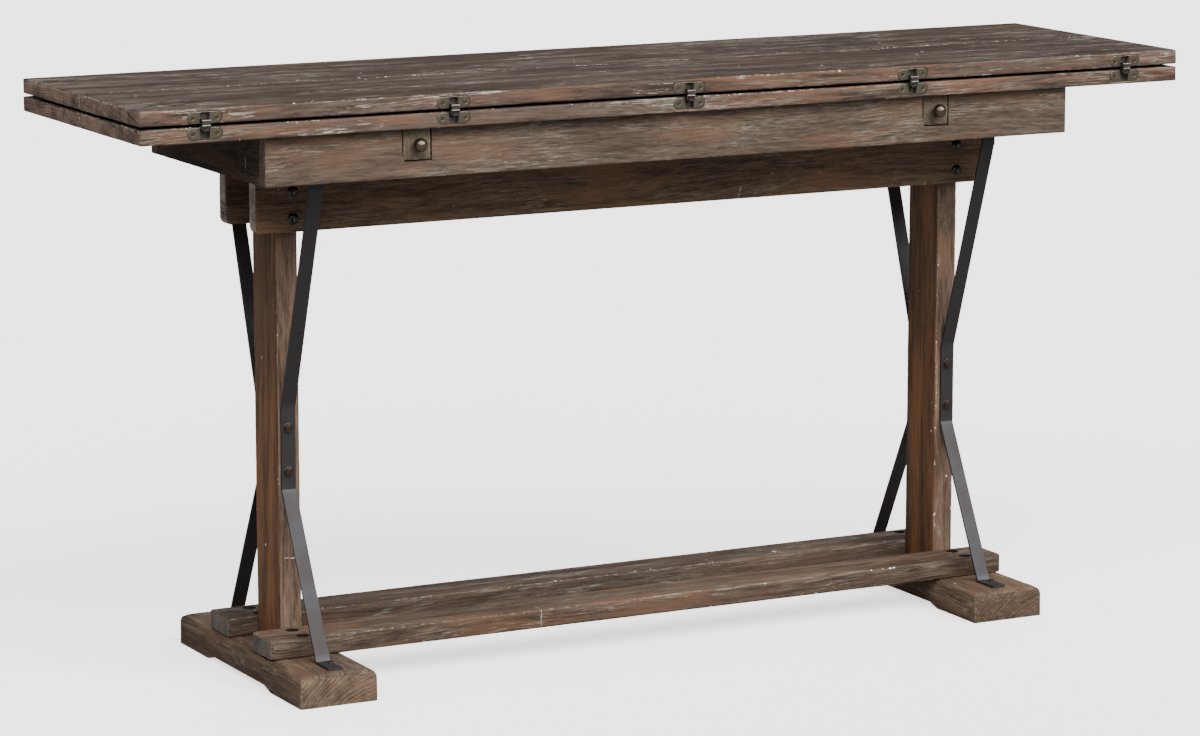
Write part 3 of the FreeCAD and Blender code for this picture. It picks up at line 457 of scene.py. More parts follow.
def surface_material(name, group_name, along, values, depth, metallic=0.0, specular=0.5):
    """A Principled material whose colour, roughness and height come from one node group.
    The pattern runs along an axis, and the depth is that of its relief."""
    material = bpy.data.materials.get(name)
    if material:
        return material
    material = bpy.data.materials.new(name)
    tree = empty_tree(material)
    place = tree.add("ShaderNodeTexCoord").outputs["Object"]
    lengthways = tree.add("ShaderNodeMapping", {"Vector": place, "Rotation": TURN_TO_X[along]})
    edge = tree.add("ShaderNodeAttribute", attribute_name="edge")
    given = {"Place": lengthways.outputs[0], "Edge": edge.outputs["Fac"], **values}
    if group_name != "Old metal":
        given["Board"] = tree.add("ShaderNodeAttribute", attribute_name="board").outputs["Fac"]
    group = bpy.data.node_groups.get(group_name) or GROUP_MAKERS[group_name]()
    made = tree.add("ShaderNodeGroup", given, node_tree=group).outputs
    covered(tree, made["Color"], made["Roughness"], made["Height"], depth,
            **{"Metallic": metallic, "Specular IOR Level": specular})
    return material


# --- Finishes -------------------------------------------------------------------------------------

# How deep the relief of each kind of surface goes, in metres.
GRAIN_RELIEF, END_RELIEF, METAL_RELIEF, FELT_RELIEF = 0.0009, 0.0006, 0.0002, 0.0004
# Shine of long grain, of long grain that has gone dull, and of end grain.
WOOD_SHINE, DULL_SHINE, END_SHINE = 0.22, 0.05, 0.18
RING_PITCH = 0.003

WOOD_AMOUNTS = ("Warmth", "Whitewash", "Scuffs", "Specks", "Edge wash", "Figure", "Scratches",
                "Shortness", "Unevenness")
# Dark, mid and warm colour, then the amounts in the order of WOOD_AMOUNTS.
WOODS = {
    "Top face": ((0.014, 0.009, 0.007), (0.056, 0.036, 0.027), (0.073, 0.037, 0.023),
                 (0.40, 0.64, 0.48, 0.80, 0.90, 0.20, 0.020, 1.2, 0.85)),
    "Leaf edge": ((0.030, 0.018, 0.012), (0.110, 0.074, 0.056), (0.156, 0.078, 0.044),
                  (0.70, 0.62, 0.52, 0.40, 0.45, 0.20, 0.030, 1.2, 1.05)),
    "Apron": ((0.036, 0.024, 0.016), (0.114, 0.080, 0.057), (0.142, 0.078, 0.045),
              (0.58, 0.46, 0.16, 0.15, 0.20, 0.45, 0.080, 1.7, 0.30)),
    # The end aprons are painted far darker than the other aprons: painted shade for the shadow under
    # the overhanging leaves.
    "Apron end": ((0.012, 0.007, 0.004), (0.052, 0.032, 0.019), (0.066, 0.034, 0.017),
                  (0.50, 0.25, 0.05, 0.15, 0.25, 0.35, 0.030, 2.0, 0.6)),
    "Rail": ((0.036, 0.021, 0.011), (0.140, 0.087, 0.052), (0.182, 0.092, 0.044),
             (0.60, 0.26, 0.12, 0.35, 0.35, 0.30, 0.060, 1.6, 0.4)),
    "Post side": ((0.040, 0.018, 0.008), (0.150, 0.074, 0.034), (0.205, 0.090, 0.034),
                  (0.75, 0.10, 0.06, 2.20, 0.18, 0.50, 0.020, 1.0, 0.8)),
    "Post front": ((0.054, 0.032, 0.021), (0.190, 0.123, 0.085), (0.220, 0.114, 0.062),
                   (0.60, 0.30, 0.18, 2.60, 0.30, 0.25, 0.030, 1.3, 0.5)),
    "Stretcher": ((0.025, 0.014, 0.009), (0.096, 0.061, 0.040), (0.130, 0.066, 0.035),
                  (0.60, 0.46, 0.20, 0.80, 0.20, 0.25, 0.080, 1.1, 0.55)),
    "Back stretcher": ((0.019, 0.012, 0.008), (0.072, 0.048, 0.035), (0.092, 0.050, 0.030),
                       (0.50, 0.45, 0.22, 0.80, 0.20, 0.30, 0.080, 1.1, 0.6)),
    "Grey end": ((0.036, 0.028, 0.023), (0.112, 0.092, 0.078), (0.120, 0.090, 0.070),
                 (0.40, 0.60, 0.10, 0.30, 0.30, 0.40, 0.000, 1.0, 0.7)),
    "Foot": ((0.034, 0.020, 0.012), (0.124, 0.081, 0.053), (0.146, 0.080, 0.045),
             (0.50, 0.50, 0.15, 0.30, 0.30, 0.40, 0.030, 1.2, 0.7)),
    "Loper": ((0.034, 0.026, 0.017), (0.115, 0.092, 0.062), (0.125, 0.084, 0.050),
              (0.40, 0.40, 0.10, 0.30, 0.30, 0.45, 0.020, 1.0, 0.6)),
    "Inner": ((0.070, 0.045, 0.026), (0.170, 0.115, 0.070), (0.190, 0.115, 0.062),
              (0.40, 0.05, 0.00, 0.05, 0.05, 0.60, 0.000, 1.0, 0.8)),
    # Near black: painted shade for the inside of the recesses round the stretcher bolts.
    "Painted recess shade": ((0.006, 0.005, 0.004), (0.014, 0.011, 0.009), (0.016, 0.011, 0.008),
             (0.30, 0.00, 0.00, 0.00, 0.00, 0.20, 0.000, 1.0, 0.8)),
}


def wood_material(finish, along, shine=WOOD_SHINE):
    """Long grain of one of the finishes, running along an axis."""
    woods = bpy.context.scene.table_wood
    dark, mid, warm, amounts = WOODS[finish]
    values = {"Dark": rgba(dark), "Mid": rgba(mid), "Warm": rgba(warm), "Wash": rgba(woods.wash),
              "Filler": rgba(woods.filler), **dict(zip(WOOD_AMOUNTS, amounts))}
    name = f"{finish} wood {'XYZ'[along]}"
    return surface_material(name, "Weathered grain", along, values, GRAIN_RELIEF, specular=shine)


def end_material(finish, along, heart, pitch=RING_PITCH, which="", paleness=1.1):
    """End grain of one of the finishes, with its rings round a heart."""
    dark, mid, _, amounts = WOODS[finish]
    whitewash = dict(zip(WOOD_AMOUNTS, amounts))["Whitewash"]
    values = {"Dark": rgba(dark), "Mid": rgba(tuple(paleness * c for c in mid)), "Heart": heart,
              "Filler": rgba(bpy.context.scene.table_wood.wash), "Ring pitch": pitch,
              "Whitewash": 0.45 * whitewash}
    name = f"{finish} end grain {'XYZ'[along]}{which}"
    return surface_material(name, "End grain", along, values, END_RELIEF, specular=END_SHINE)


# The names of the colour and of the bloom on it, the amounts in the order of METAL_AMOUNTS, the
# direction of the brushing, and how metallic it is.
METAL_AMOUNTS = ("Bloom share", "Bloom waves", "Brightening", "Gloss")
METALS = {
    "Strap iron": ("iron", "rust", (0.30, 22.0, 0.6, 0.56), ALONG_Z, 0.85),
    "Black steel": ("black", "rust", (0.25, 120.0, 0.8, 0.22), ALONG_X, 1.0),
    "Brown steel": ("brown", "rust", (0.50, 160.0, 0.9, 0.34), ALONG_X, 1.0),
    "Pewter": ("pewter", "black", (0.65, 300.0, 0.9, 0.34), ALONG_X, 1.0),
    # A painted highlight: the pale tip on the black domes of the rail bolts.
    "Pewter painted highlight": ("pewter", "pewter", (0.00, 300.0, 0.9, 0.30), ALONG_X, 0.5),
    "Hinge bronze": ("bronze", "verdigris", (0.60, 160.0, 0.8, 0.42), ALONG_X, 1.0),
    "Screw brass": ("brass", "black", (0.50, 700.0, 0.9, 0.34), ALONG_X, 1.0),
    "Link steel": ("steel", "tarnish_and_shade", (0.50, 200.0, 0.5, 0.40), ALONG_Z, 1.0),
    # The narrow links are painted dark: partly darker metal, partly painted shade for the shadow they
    # sit in.
    "Dull steel in painted shade": ("tarnish_and_shade", "black", (0.50, 200.0, 0.4, 0.45), ALONG_Z, 1.0),
    "Slot steel": ("slot", "tarnish_and_shade", (0.50, 300.0, 0.5, 0.45), ALONG_Z, 0.2),
    "Rubbed steel": ("rubbed", "steel", (0.30, 300.0, 0.5, 0.32), ALONG_X, 1.0),
}


def metal_material(name):
    """One of the metals, in the colours that the user has set."""
    base, bloom, amounts, along, metallic = METALS[name]
    metals = bpy.context.scene.table_metal
    values = {"Base": rgba(getattr(metals, base)), "Bloom": rgba(getattr(metals, bloom)),
              **dict(zip(METAL_AMOUNTS, amounts))}
    return surface_material(name, "Old metal", along, values, METAL_RELIEF, metallic=metallic)


def felt_material():
    """Brown felt with a fine fuzz."""
    material = bpy.data.materials.get("Felt")
    if material:
        return material
    material = bpy.data.materials.new("Felt")
    t = empty_tree(material)
    fuzz = t.grain(t.add("ShaderNodeTexCoord").outputs["Object"], 1400, 1400, 4, 0.7)
    brown = t.mix(fuzz, rgba((0.05, 0.035, 0.025)), rgba((0.12, 0.09, 0.07)))
    covered(t, brown, 0.95, fuzz, FELT_RELIEF, **{"Sheen Weight": 0.4})
    return material


# --- Mesh tools -----------------------------------------------------------------------------------

# Places in a board's list of materials: long grain, end grain, and what is its own.
LONG, END, OWN = 0, 1, 2
# Waves a metre of the noise that wears a surface.
SWAY_WAVES, NICK_WAVES, RAGGED_WAVES, FINE_WAVES = 9, 23, 85, 210
# How far the faces at a point have to lean apart for it to count as an edge in full.
FULL_LEAN = 0.05


def dissolve_flat(bm):
    """Makes one face of each set of faces that lie in a plane."""
    bmesh.ops.dissolve_limit(
        bm, angle_limit=NEARLY_FLAT, verts=bm.verts, edges=bm.edges, use_dissolve_boundaries=False
    )


def merged_copy(node):
    """A bmesh of a node's mesh, joined into closed shells with flat faces in one piece."""
    bm = bmesh.new()
    bm.from_mesh(frame["nodes"][node].data)
    bmesh.ops.remove_doubles(bm, verts=bm.verts, dist=TOUCHING)
    dissolve_flat(bm)
    return bm


def corners(verts):
    """Lowest and highest corner of the box round some points."""
    low = Vector([min(vert.co[i] for vert in verts) for i in range(3)])
    high = Vector([max(vert.co[i] for vert in verts) for i in range(3)])
    return low, high


def shells(node):
    """Lowest and highest corner of each closed shell in a node, in order of place."""
    bm = merged_copy(node)
    left, found = set(bm.verts), []
    while left:
        shell = [left.pop()]
        # The shell grows while it is walked through.
        for vert in shell:
            for edge in vert.link_edges:
                other = edge.other_vert(vert)
                if other in left:
                    left.remove(other)
                    shell.append(other)
        found.append(corners(shell))
    bm.free()
    return sorted(found, key=lambda box: tuple(round(c, 5) for c in box[0]))


def slice_faces(bm, faces, axis, cuts):
    """Cuts the faces by planes across the axis, the middle plane first and then each half."""
    if not cuts or not faces:
        return
    middle = cuts[len(cuts) // 2]
    normal = Vector((0, 0, 0))
    normal[axis] = 1
    edges = {edge for face in faces for edge in face.edges}
    verts = {vert for face in faces for vert in face.verts}
    made = bmesh.ops.bisect_plane(
        bm, geom=[*verts, *edges, *faces], dist=TOUCHING, plane_co=normal * middle, plane_no=normal
    )
    now = [item for item in made["geom"] if isinstance(item, bmesh.types.BMFace)]
    below = [face for face in now if face.calc_center_median()[axis] < middle]
    above = [face for face in now if face.calc_center_median()[axis] >= middle]
    slice_faces(bm, below, axis, cuts[: len(cuts) // 2])
    slice_faces(bm, above, axis, cuts[len(cuts) // 2 + 1 :])


def cut_places(low, high, pitch, strips=()):
    """Evenly spaced places between two ends, with extra ones close to each end."""
    count = max(1, round((high - low) / pitch))
    even = [low + (high - low) * i / count for i in range(1, count)]
    near = [end for strip in strips for end in (low + strip, high - strip) if low < end < high]
    apart = pitch * 0.3
    kept = [place for place in even if all(abs(place - other) > apart for other in near)]
    return sorted({round(place, 6) for place in kept + near})


def roll_arrises(bm, low, high, radius):
    """Rounds the arrises round the top of a block: the long ones first, then those at its ends."""
    for across in (0, 1):
        for vert in bm.verts:
            for end, inwards in ((low[across], 1), (high[across], -1)):
                aside = radius - inwards * (vert.co[across] - end)
                above = vert.co.z - (high.z - radius)
                reach = math.hypot(aside, above)
                if aside > 0 and above > 0 and reach > radius:
                    vert.co[across] = end + inwards * (radius - aside * radius / reach)
                    vert.co.z = high.z - radius + above * radius / reach


def arris_share(vert):
    """0 on a flat face, 1 on an edge or corner."""
    if not vert.link_faces:
        return 0.0
    least = min(face.normal.dot(vert.normal) for face in vert.link_faces)
    return max(0.0, min(1.0, (1 - least) / FULL_LEAN))


def wear_down(bm, seed, nicks, seam):
    """Moves the surface inwards: a little everywhere, more along the edges, most in the nicks.
    The edges at a seam, a place along Y, are marked twice as much for the filler."""
    woods = bpy.context.scene.table_wood
    nick_depth = woods.nick_depth * nicks
    bm.normal_update()
    edge_layer = bm.verts.layers.float.new("edge")
    board_layer = bm.verts.layers.float.new("board")
    offset = Vector((seed * 1.7, seed * 2.3, seed * 0.9))
    moves = []
    for vert in bm.verts:
        share = arris_share(vert)
        at_seam = seam is not None and abs(vert.co.y - seam) < 2 * MM
        vert[edge_layer] = 2 * share if at_seam else share
        vert[board_layer] = seed
        place = vert.co + offset
        move = woods.sway * (0.5 + 0.5 * noise.noise(place * SWAY_WAVES))
        if share > 0:
            ragged = max(0.0, noise.noise(place * RAGGED_WAVES) - 0.12) * 1.6
            rare = max(0.0, noise.noise(place * NICK_WAVES + Vector((5, 5, 5))) + 0.1)
            fine = 0.5 + 0.5 * noise.noise(place * FINE_WAVES)
            move += share * (woods.rounding * (0.5 + fine) + nick_depth * ragged * rare)
        moves.append((vert, vert.normal * move))
    for vert, move in moves:
        vert.co -= move


def mark_sharp(bm, degrees):
    """Smooth shading with sharp edges where the faces meet at more than the angle."""
    limit = math.radians(degrees)
    for face in bm.faces:
        face.smooth = True
    for edge in bm.edges:
        edge.smooth = edge.calc_face_angle(0) < limit


def finished(bm, name, node, materials, slot=None, stands_for_it=True):
    """The object of a mesh, riding where a CAD node rides and standing for it."""
    mesh = bpy.data.meshes.new(name)
    for material in materials:
        mesh.materials.append(material)
    bm.to_mesh(mesh)
    bm.free()
    piece = bpy.data.objects.new(name, mesh)
    bpy.context.scene.collection.objects.link(piece)
    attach(piece, frame["nodes"][node]["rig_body"])
    if stands_for_it:
        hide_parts(node)


def settle(bm):
    """Joins doubled points, turns every face outwards and keeps how near each point is to an edge."""
    bmesh.ops.remove_doubles(bm, verts=bm.verts, dist=TOUCHING)
    bmesh.ops.recalc_face_normals(bm, faces=bm.faces)
    bm.normal_update()
    layer = bm.verts.layers.float.new("edge")
    for vert in bm.verts:
        vert[layer] = arris_share(vert)


def metal_piece(bm, name, node, materials, sharp=30, **ways):
    """Settles and shades the mesh of a metal piece and makes its object."""
    settle(bm)
    mark_sharp(bm, sharp)
    finished(bm, name, node, materials, **ways)


def ends_only(along):
    """Chooses end grain for the faces across the grain."""
    return lambda face: END if abs(face.normal[along]) > SQUARE_ON else LONG


def ends_and_fronts(along):
    """Chooses end grain across the grain, and the board's own finish in front and behind."""
    def pick(face):
        if abs(face.normal[along]) > SQUARE_ON:
            return END
        return OWN if abs(face.normal.y) > MOSTLY else LONG
    return pick


def worn_board(node, along, seed, materials, pick=None, nicks=1.0, seam=None, roll=0.0):
    """A worn wooden piece made from a node's own shape, with long-grain and end-grain faces.
    Its seed gives each board its own wear and its own stretch of grain."""
    woods = bpy.context.scene.table_wood
    bm = merged_copy(node)
    low, high = corners(bm.verts)
    strips = (woods.edge_strip, 2.6 * woods.edge_strip)
    for axis in range(3):
        pitch = woods.slice_along if axis == along else woods.slice_across
        slice_faces(bm, bm.faces[:], axis, cut_places(low[axis], high[axis], pitch, strips))
    pick = pick or ends_only(along)
    for face in bm.faces:
        face.normal_update()
        face.material_index = pick(face)
    if roll:
        roll_arrises(bm, low, high, roll)
    wear_down(bm, seed, nicks, seam)
    bm.normal_update()
    mark_sharp(bm, 55)
    finished(bm, f"worn_{node}", node, materials)


def plain_finish(node, material):
    """A carried-over node keeps its shape and takes a material."""
    mesh = frame["nodes"][node].data
    mesh.materials.clear()
    mesh.materials.append(material)


def in_mm(*points):
    """Points of a profile, given in millimetres."""
    return [(along * MM, radius * MM) for along, radius in points]


def turned(bm, profile, centre, axis, segments=32):
    """Adds a turned shape: (distance along the axis, radius) points spun round it."""
    spin_axis = Vector(axis).normalized()
    side = spin_axis.orthogonal().normalized()
    centre = Vector(centre)
    verts = [bm.verts.new(centre + spin_axis * along + side * radius) for along, radius in profile]
    edges = [bm.edges.new(pair) for pair in zip(verts, verts[1:])]
    bmesh.ops.spin(
        bm, geom=verts + edges, cent=centre, axis=spin_axis, angle=2 * math.pi, steps=segments,
        use_merge=True, use_duplicate=False,
    )


def bevelled(bm, edges, width, segments=2):
    """Rounds some edges."""
    bmesh.ops.bevel(
        bm, geom=list(edges), offset=width, offset_type="OFFSET", segments=segments, profile=0.5,
        affect="EDGES", material=-1, clamp_overlap=True,
    )


def sharp_edges(bm):
    """The edges where two faces meet at more than 60 degrees."""
    return [edge for edge in bm.edges if edge.calc_face_angle(0) > math.radians(60)]


def hexagon(bm, width, low, high, centre, axis, chamfer):
    """Adds a bolt head or nut between two heights on its axis, the edges of its outer end bevelled."""
    spin_axis = Vector(axis).normalized()
    place = Matrix.Translation(Vector(centre) + spin_axis * (low + high) / 2)
    facing = spin_axis.to_track_quat("Z", "Y").to_matrix().to_4x4()
    made = bmesh.ops.create_cone(
        bm, cap_ends=True, segments=6, radius1=width / 2, radius2=width / 2, depth=high - low,
        matrix=place @ facing,
    )["verts"]
    top = Vector(centre) + spin_axis * high
    rim = {edge for vert in made for edge in vert.link_edges
           if all(abs((end.co - top).dot(spin_axis)) < TOUCHING for end in edge.verts)}
    bevelled(bm, rim, chamfer)


def cut_out(bm, tool_bm):
    """The first shape with the second one taken away, as a new bmesh."""
    objects = []
    for source in (bm, tool_bm):
        mesh = bpy.data.meshes.new("cutting")
        source.to_mesh(mesh)
        source.free()
        objects.append(bpy.data.objects.new("cutting", mesh))
        bpy.context.scene.collection.objects.link(objects[-1])
    cutter = objects[0].modifiers.new("cut", "BOOLEAN")
    cutter.operation, cutter.solver, cutter.object = "DIFFERENCE", "EXACT", objects[1]
    seen = objects[0].evaluated_get(bpy.context.evaluated_depsgraph_get())
    result = bmesh.new()
    result.from_mesh(seen.to_mesh())
    seen.to_mesh_clear()
    for spent in objects:
        mesh = spent.data
        bpy.data.objects.remove(spent)
        bpy.data.meshes.remove(mesh)
    return result


# --- Pieces ---------------------------------------------------------------------------------------


class TABLE_OT_leaves(bpy.types.Operator):
    """Worn boards of both leaves, and the felt bumpers between them"""

    bl_idname = "table.leaves"
    bl_label = "Leaves"

    def execute(self, context):
        materials = [
            wood_material("Top face", ALONG_X),
            end_material("Top face", ALONG_X, (0.0, 0.1, -0.3), 0.0032, paleness=3.7),
            wood_material("Leaf edge", ALONG_X),
        ]
        boards = ("flip_top_front_board", "flip_top_back_board", "fixed_top_front_board",
                  "fixed_top_back_board")
        for seed, node in enumerate(boards, 1):
            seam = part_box(node.replace("_back_", "_front_"))[1].y
            worn_board(node, ALONG_X, seed, materials, ends_and_fronts(ALONG_X), seam=seam)
        plain_finish("leaf_bumpers", felt_material())
        return {"FINISHED"}


class TABLE_OT_apron(bpy.types.Operator):
    """Apron boards, corner blocks, bearers and the guides of the lopers"""

    bl_idname = "table.apron"
    bl_label = "Apron"

    def execute(self, context):
        boards = (
            ("front_apron", "Apron", ALONG_X, WOOD_SHINE),
            ("back_apron", "Apron", ALONG_X, WOOD_SHINE),
            # The end aprons take the darker finish, painted shade under the leaves.
            ("left_end_apron", "Apron end", ALONG_Y, DULL_SHINE),
            ("right_end_apron", "Apron end", ALONG_Y, DULL_SHINE),
            ("left_bearer", "Rail", ALONG_Y, WOOD_SHINE),
            ("right_bearer", "Rail", ALONG_Y, WOOD_SHINE),
        )
        heart = (0, 0.2, 0.9)
        for seed, (node, finish, along, shine) in enumerate(boards, 6):
            worn_board(node, along, seed, [
                wood_material(finish, along, shine), end_material(finish, along, heart)])
        plain_finish("apron_corner_blocks", wood_material("Inner", ALONG_Z))
        for node in ("loper_guides", "loper_stop_pins"):
            plain_finish(node, wood_material("Inner", ALONG_Y))
        return {"FINISHED"}


class TABLE_OT_lopers(bpy.types.Operator):
    """The two pull-out supports and their turned knobs"""

    bl_idname = "table.lopers"
    bl_label = "Lopers and knobs"

    def execute(self, context):
        heart = (0.0, -0.46, 0.80)
        materials = [wood_material("Loper", ALONG_Y), end_material("Loper", ALONG_Y, heart, 0.0026)]
        for seed, side in enumerate(SIDES, 12):
            worn_board(f"{side}_loper", ALONG_Y, seed, materials, nicks=0.6)
            self.knob(side, metal_material("Pewter"))
        return {"FINISHED"}

    def knob(self, side, material):
        """From the wood outwards: a stud, a stepped rosette, a hollow neck and a ball."""
        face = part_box(f"{side}_loper")[0].y
        low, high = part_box(f"{side}_knob")
        middle, ball = (low + high) / 2, (high.x - low.x) / 2
        stud, throat, stops = 2 * MM, 3.1 * MM, 18
        rosette = in_mm((-0.2, 5.2), (0.9, 5.25), (1.3, 4.9), (1.5, 4.3), (2.2, 4.1), (2.5, 3.6))
        profile = [(face - high.y, 0), (face - high.y, stud), (-0.2 * MM, stud), *rosette]
        start = math.asin(throat / ball)
        centre = face - low.y - ball
        for stop in range(stops + 1):
            turn = start + (math.pi - start) * stop / stops
            profile.append((centre - ball * math.cos(turn), max(0.0, ball * math.sin(turn))))
        bm = bmesh.new()
        turned(bm, profile, (middle.x, face, middle.z), FORWARDS, 48)
        metal_piece(bm, f"turned_{side}_knob", f"{side}_knob", [material])


class TABLE_OT_trestles(bpy.types.Operator):
    """Feet, posts, stretchers and rails"""

    bl_idname = "table.trestles"
    bl_label = "Trestles"

    def execute(self, context):
        heart = (0, 0.1, 0.3)
        post = [wood_material("Post side", ALONG_Z), end_material("Foot", ALONG_Z, heart),
                wood_material("Post front", ALONG_Z)]
        # The ends of the rails are made 3.6 times paler: pale end grain, and partly painted light
        # against the shade of the apron and leaves.
        rail = [wood_material("Rail", ALONG_X),
                end_material("Grey end", ALONG_X, heart, which=" of the rails", paleness=3.6)]
        for seed, side in enumerate(SIDES, 14):
            self.foot(side, seed)
            worn_board(f"{side}_post", ALONG_Z, seed + 2, post, ends_and_fronts(ALONG_Z))
        for seed, side in enumerate(("front", "back"), 18):
            self.stretcher(side, seed)
            worn_board(f"{side}_rail", ALONG_X, seed + 2, rail)
        return {"FINISHED"}

    def foot(self, side, seed):
        """A foot whose arrises roll over at the top, with its heart below it."""
        low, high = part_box(f"{side}_foot")
        heart = (0.0, -high.x - 0.02, low.z - 0.08)
        paleness = 1.15 if side == "left" else 0.72
        worn_board(f"{side}_foot", ALONG_Y, seed, [
            wood_material("Foot", ALONG_Y),
            end_material("Foot", ALONG_Y, heart, 0.0050, f" {side}", paleness)],
            roll=bpy.context.scene.table_wood.foot_roll)

    def stretcher(self, side, seed):
        """A stretcher whose recesses round its bolt heads are painted near black, as painted shade."""
        finish = "Stretcher" if side == "front" else "Back stretcher"
        heads = [((low + high) / 2, high.z) for low, high in shells("stretcher_bolts")]
        around, near_top, below_top = 12 * MM, 6 * MM, 3 * MM

        # Faces inside a recess round a bolt head take the near-black finish of painted shade.
        def pick(face):
            place = face.calc_center_median()
            for middle, top in heads:
                if (place.xy - middle.xy).length < around and abs(place.z - top) < near_top:
                    if face.normal.z < 0.9 or place.z < top - below_top:
                        return OWN
            return END if abs(face.normal.x) > SQUARE_ON else LONG

        worn_board(f"{side}_stretcher", ALONG_X, seed, [
            wood_material(finish, ALONG_X),
            end_material("Grey end", ALONG_X, (0, 0.05, -0.12)),
            wood_material("Painted recess shade", ALONG_X)], pick, nicks=0.6)


class TABLE_OT_straps(bpy.types.Operator):
    """Bent flat-bar straps"""

    bl_idname = "table.straps"
    bl_label = "Straps"

    def execute(self, context):
        pitch = 12 * MM
        for node in STRAPS:
            bm = merged_copy(node)
            low, high = corners(bm.verts)
            slice_faces(bm, bm.faces[:], ALONG_Z, cut_places(low.z, high.z, pitch))
            bevelled(bm, sharp_edges(bm), context.scene.table_metal.arris)
            metal_piece(bm, f"bent_{node}", node, [metal_material("Strap iron")], 20)
        return {"FINISHED"}


class TABLE_OT_bolts(bpy.types.Operator):
    """Bolts of the rails, straps and stretchers, and the screws of the straps"""

    bl_idname = "table.bolts"
    bl_label = "Bolts and screws"

    def execute(self, context):
        black, brown = metal_material("Black steel"), metal_material("Brown steel")
        self.rail_bolts([black, metal_material("Pewter painted highlight")])
        self.strap_bolts([brown])
        self.stretcher_bolts([black])
        self.strap_screws([brown])
        return {"FINISHED"}

    def rail_bolts(self, materials):
        """Domed heads with a small button in front, painted pale as a painted highlight, and nuts
        behind, joined by the shank.
        """
        front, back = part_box("front_rail")[0].y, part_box("back_rail")[1].y
        shank, thread, washer, rim = 4 * MM, 3.9 * MM, 1 * MM, 8.6 * MM
        head, flat, button, painted_highlight_depth = 14.6 * MM / 2, 1.3 * MM, 0.6 * MM, 0.62 * MM
        nut_width, stops = 13 * MM / math.cos(math.pi / 6), 8
        bm = bmesh.new()
        for low, high in shells("rail_bolts"):
            middle = (low + high) / 2
            in_front, behind = (middle.x, front, middle.z), (middle.x, back, middle.z)
            rise, tip = front - low.y, high.y - back
            profile = [(front - back, 0), (front - back, shank), (0.0, shank), (0.0, head),
                       (0.8 * MM, head), (flat, head - 0.5 * MM)]
            for stop in range(1, stops):
                turn = math.pi / 2 * stop / stops
                dome = (rise - flat - button) * math.sin(turn)
                profile.append((flat + dome, (head - MM) * math.cos(turn)))
            profile += [(rise - button, 1.2 * MM), (rise - 0.15 * MM, 0.9 * MM), (rise, 0.4 * MM),
                        (rise, 0.0)]
            turned(bm, profile, in_front, FORWARDS, 40)
            turned(bm, [(0.0, shank), (0.0, rim), (washer, rim), (washer, shank)], behind, BACKWARDS)
            hexagon(bm, nut_width, washer, tip - 0.6 * MM, behind, BACKWARDS, 0.6 * MM)
            turned(bm, [(0.0, 0.0), (0.0, thread), (tip - 0.4 * MM, thread), (tip, 3.3 * MM),
                        (tip, 0.0)], behind, BACKWARDS, 24)
        # The tip of each dome is painted pale pewter, a painted highlight.
        for face in bm.faces:
            in_painted_highlight = face.calc_center_median().y < front - rise + painted_highlight_depth
            face.material_index = int(in_painted_highlight)
        metal_piece(bm, "domed_rail_bolts", "rail_bolts", materials)

    def strap_bolts(self, materials):
        """Hexagon heads in front of the straps and nuts behind them, both on washers."""
        head, washer, shank, inside = 4.2 * MM, 0.9 * MM, 3 * MM, 4 * MM
        bm = bmesh.new()
        for low, high in shells("strap_bolts"):
            middle = (low + high) / 2
            centre = (middle.x, 0, middle.z)
            for axis, tip in ((FORWARDS, -low.y), (BACKWARDS, high.y)):
                seat = tip - head
                turned(bm, [(seat, 0.0), (seat, 6.6 * MM), (seat + 0.7 * MM, 6.6 * MM),
                            (seat + washer, 6.2 * MM), (seat + washer, 0.0)], centre, axis, 36)
                hexagon(bm, 11.5 * MM, seat + washer, tip, centre, axis, 0.8 * MM)
            turned(bm, [(low.y + inside, 0.0), (low.y + inside, shank), (high.y - inside, shank),
                        (high.y - inside, 0.0)], centre, BACKWARDS, 16)
        metal_piece(bm, "hexagon_strap_bolts", "strap_bolts", materials)

    def stretcher_bolts(self, materials):
        """Hexagon heads on washers at the bottom of their recesses."""
        head, washer, shank = 4.5 * MM, 1.2 * MM, 3.7 * MM
        bm = bmesh.new()
        for low, high in shells("stretcher_bolts"):
            middle = (low + high) / 2
            centre, seat = (middle.x, middle.y, 0), high.z - head
            turned(bm, [(low.z, 0.0), (low.z, shank), (seat, shank), (seat, 7.4 * MM),
                        (seat + 1.1 * MM, 7.3 * MM), (seat + washer, 0.0)], centre, UP, 36)
            hexagon(bm, 11.8 * MM, seat + washer, high.z, centre, UP, 0.9 * MM)
        metal_piece(bm, "washered_stretcher_bolts", "stretcher_bolts", materials)

    def strap_screws(self, materials):
        """A round-headed screw through each flange of the straps."""
        aside, from_end, from_middle = 6.5 * MM, 29.5 * MM, 149 * MM
        bm = bmesh.new()
        for node in STRAPS:
            low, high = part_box(node)
            middle_x = (low.x + high.x) / 2
            side, far = (1, high.y) if node.startswith("back") else (-1, low.y)
            self.round_screw(bm, (middle_x + aside, far - side * from_end, low.z), UP)
            self.round_screw(bm, (middle_x, side * from_middle, high.z), DOWN)
        metal_piece(bm, "strap_screws", "strap_bolts", materials, stands_for_it=False)

    def round_screw(self, bm, seat, axis):
        """A dome with a hollow in its middle on a 3 mm flange, and its shank in the wood."""
        profile = in_mm((-12, 0), (-10, 1.4), (3, 1.7), (3, 4), (3.8, 3.9), (4.7, 3.1), (5.3, 1.8),
                        (5.35, 1.1), (4.2, 0.7), (4.2, 0))
        turned(bm, profile, seat, axis, 28)


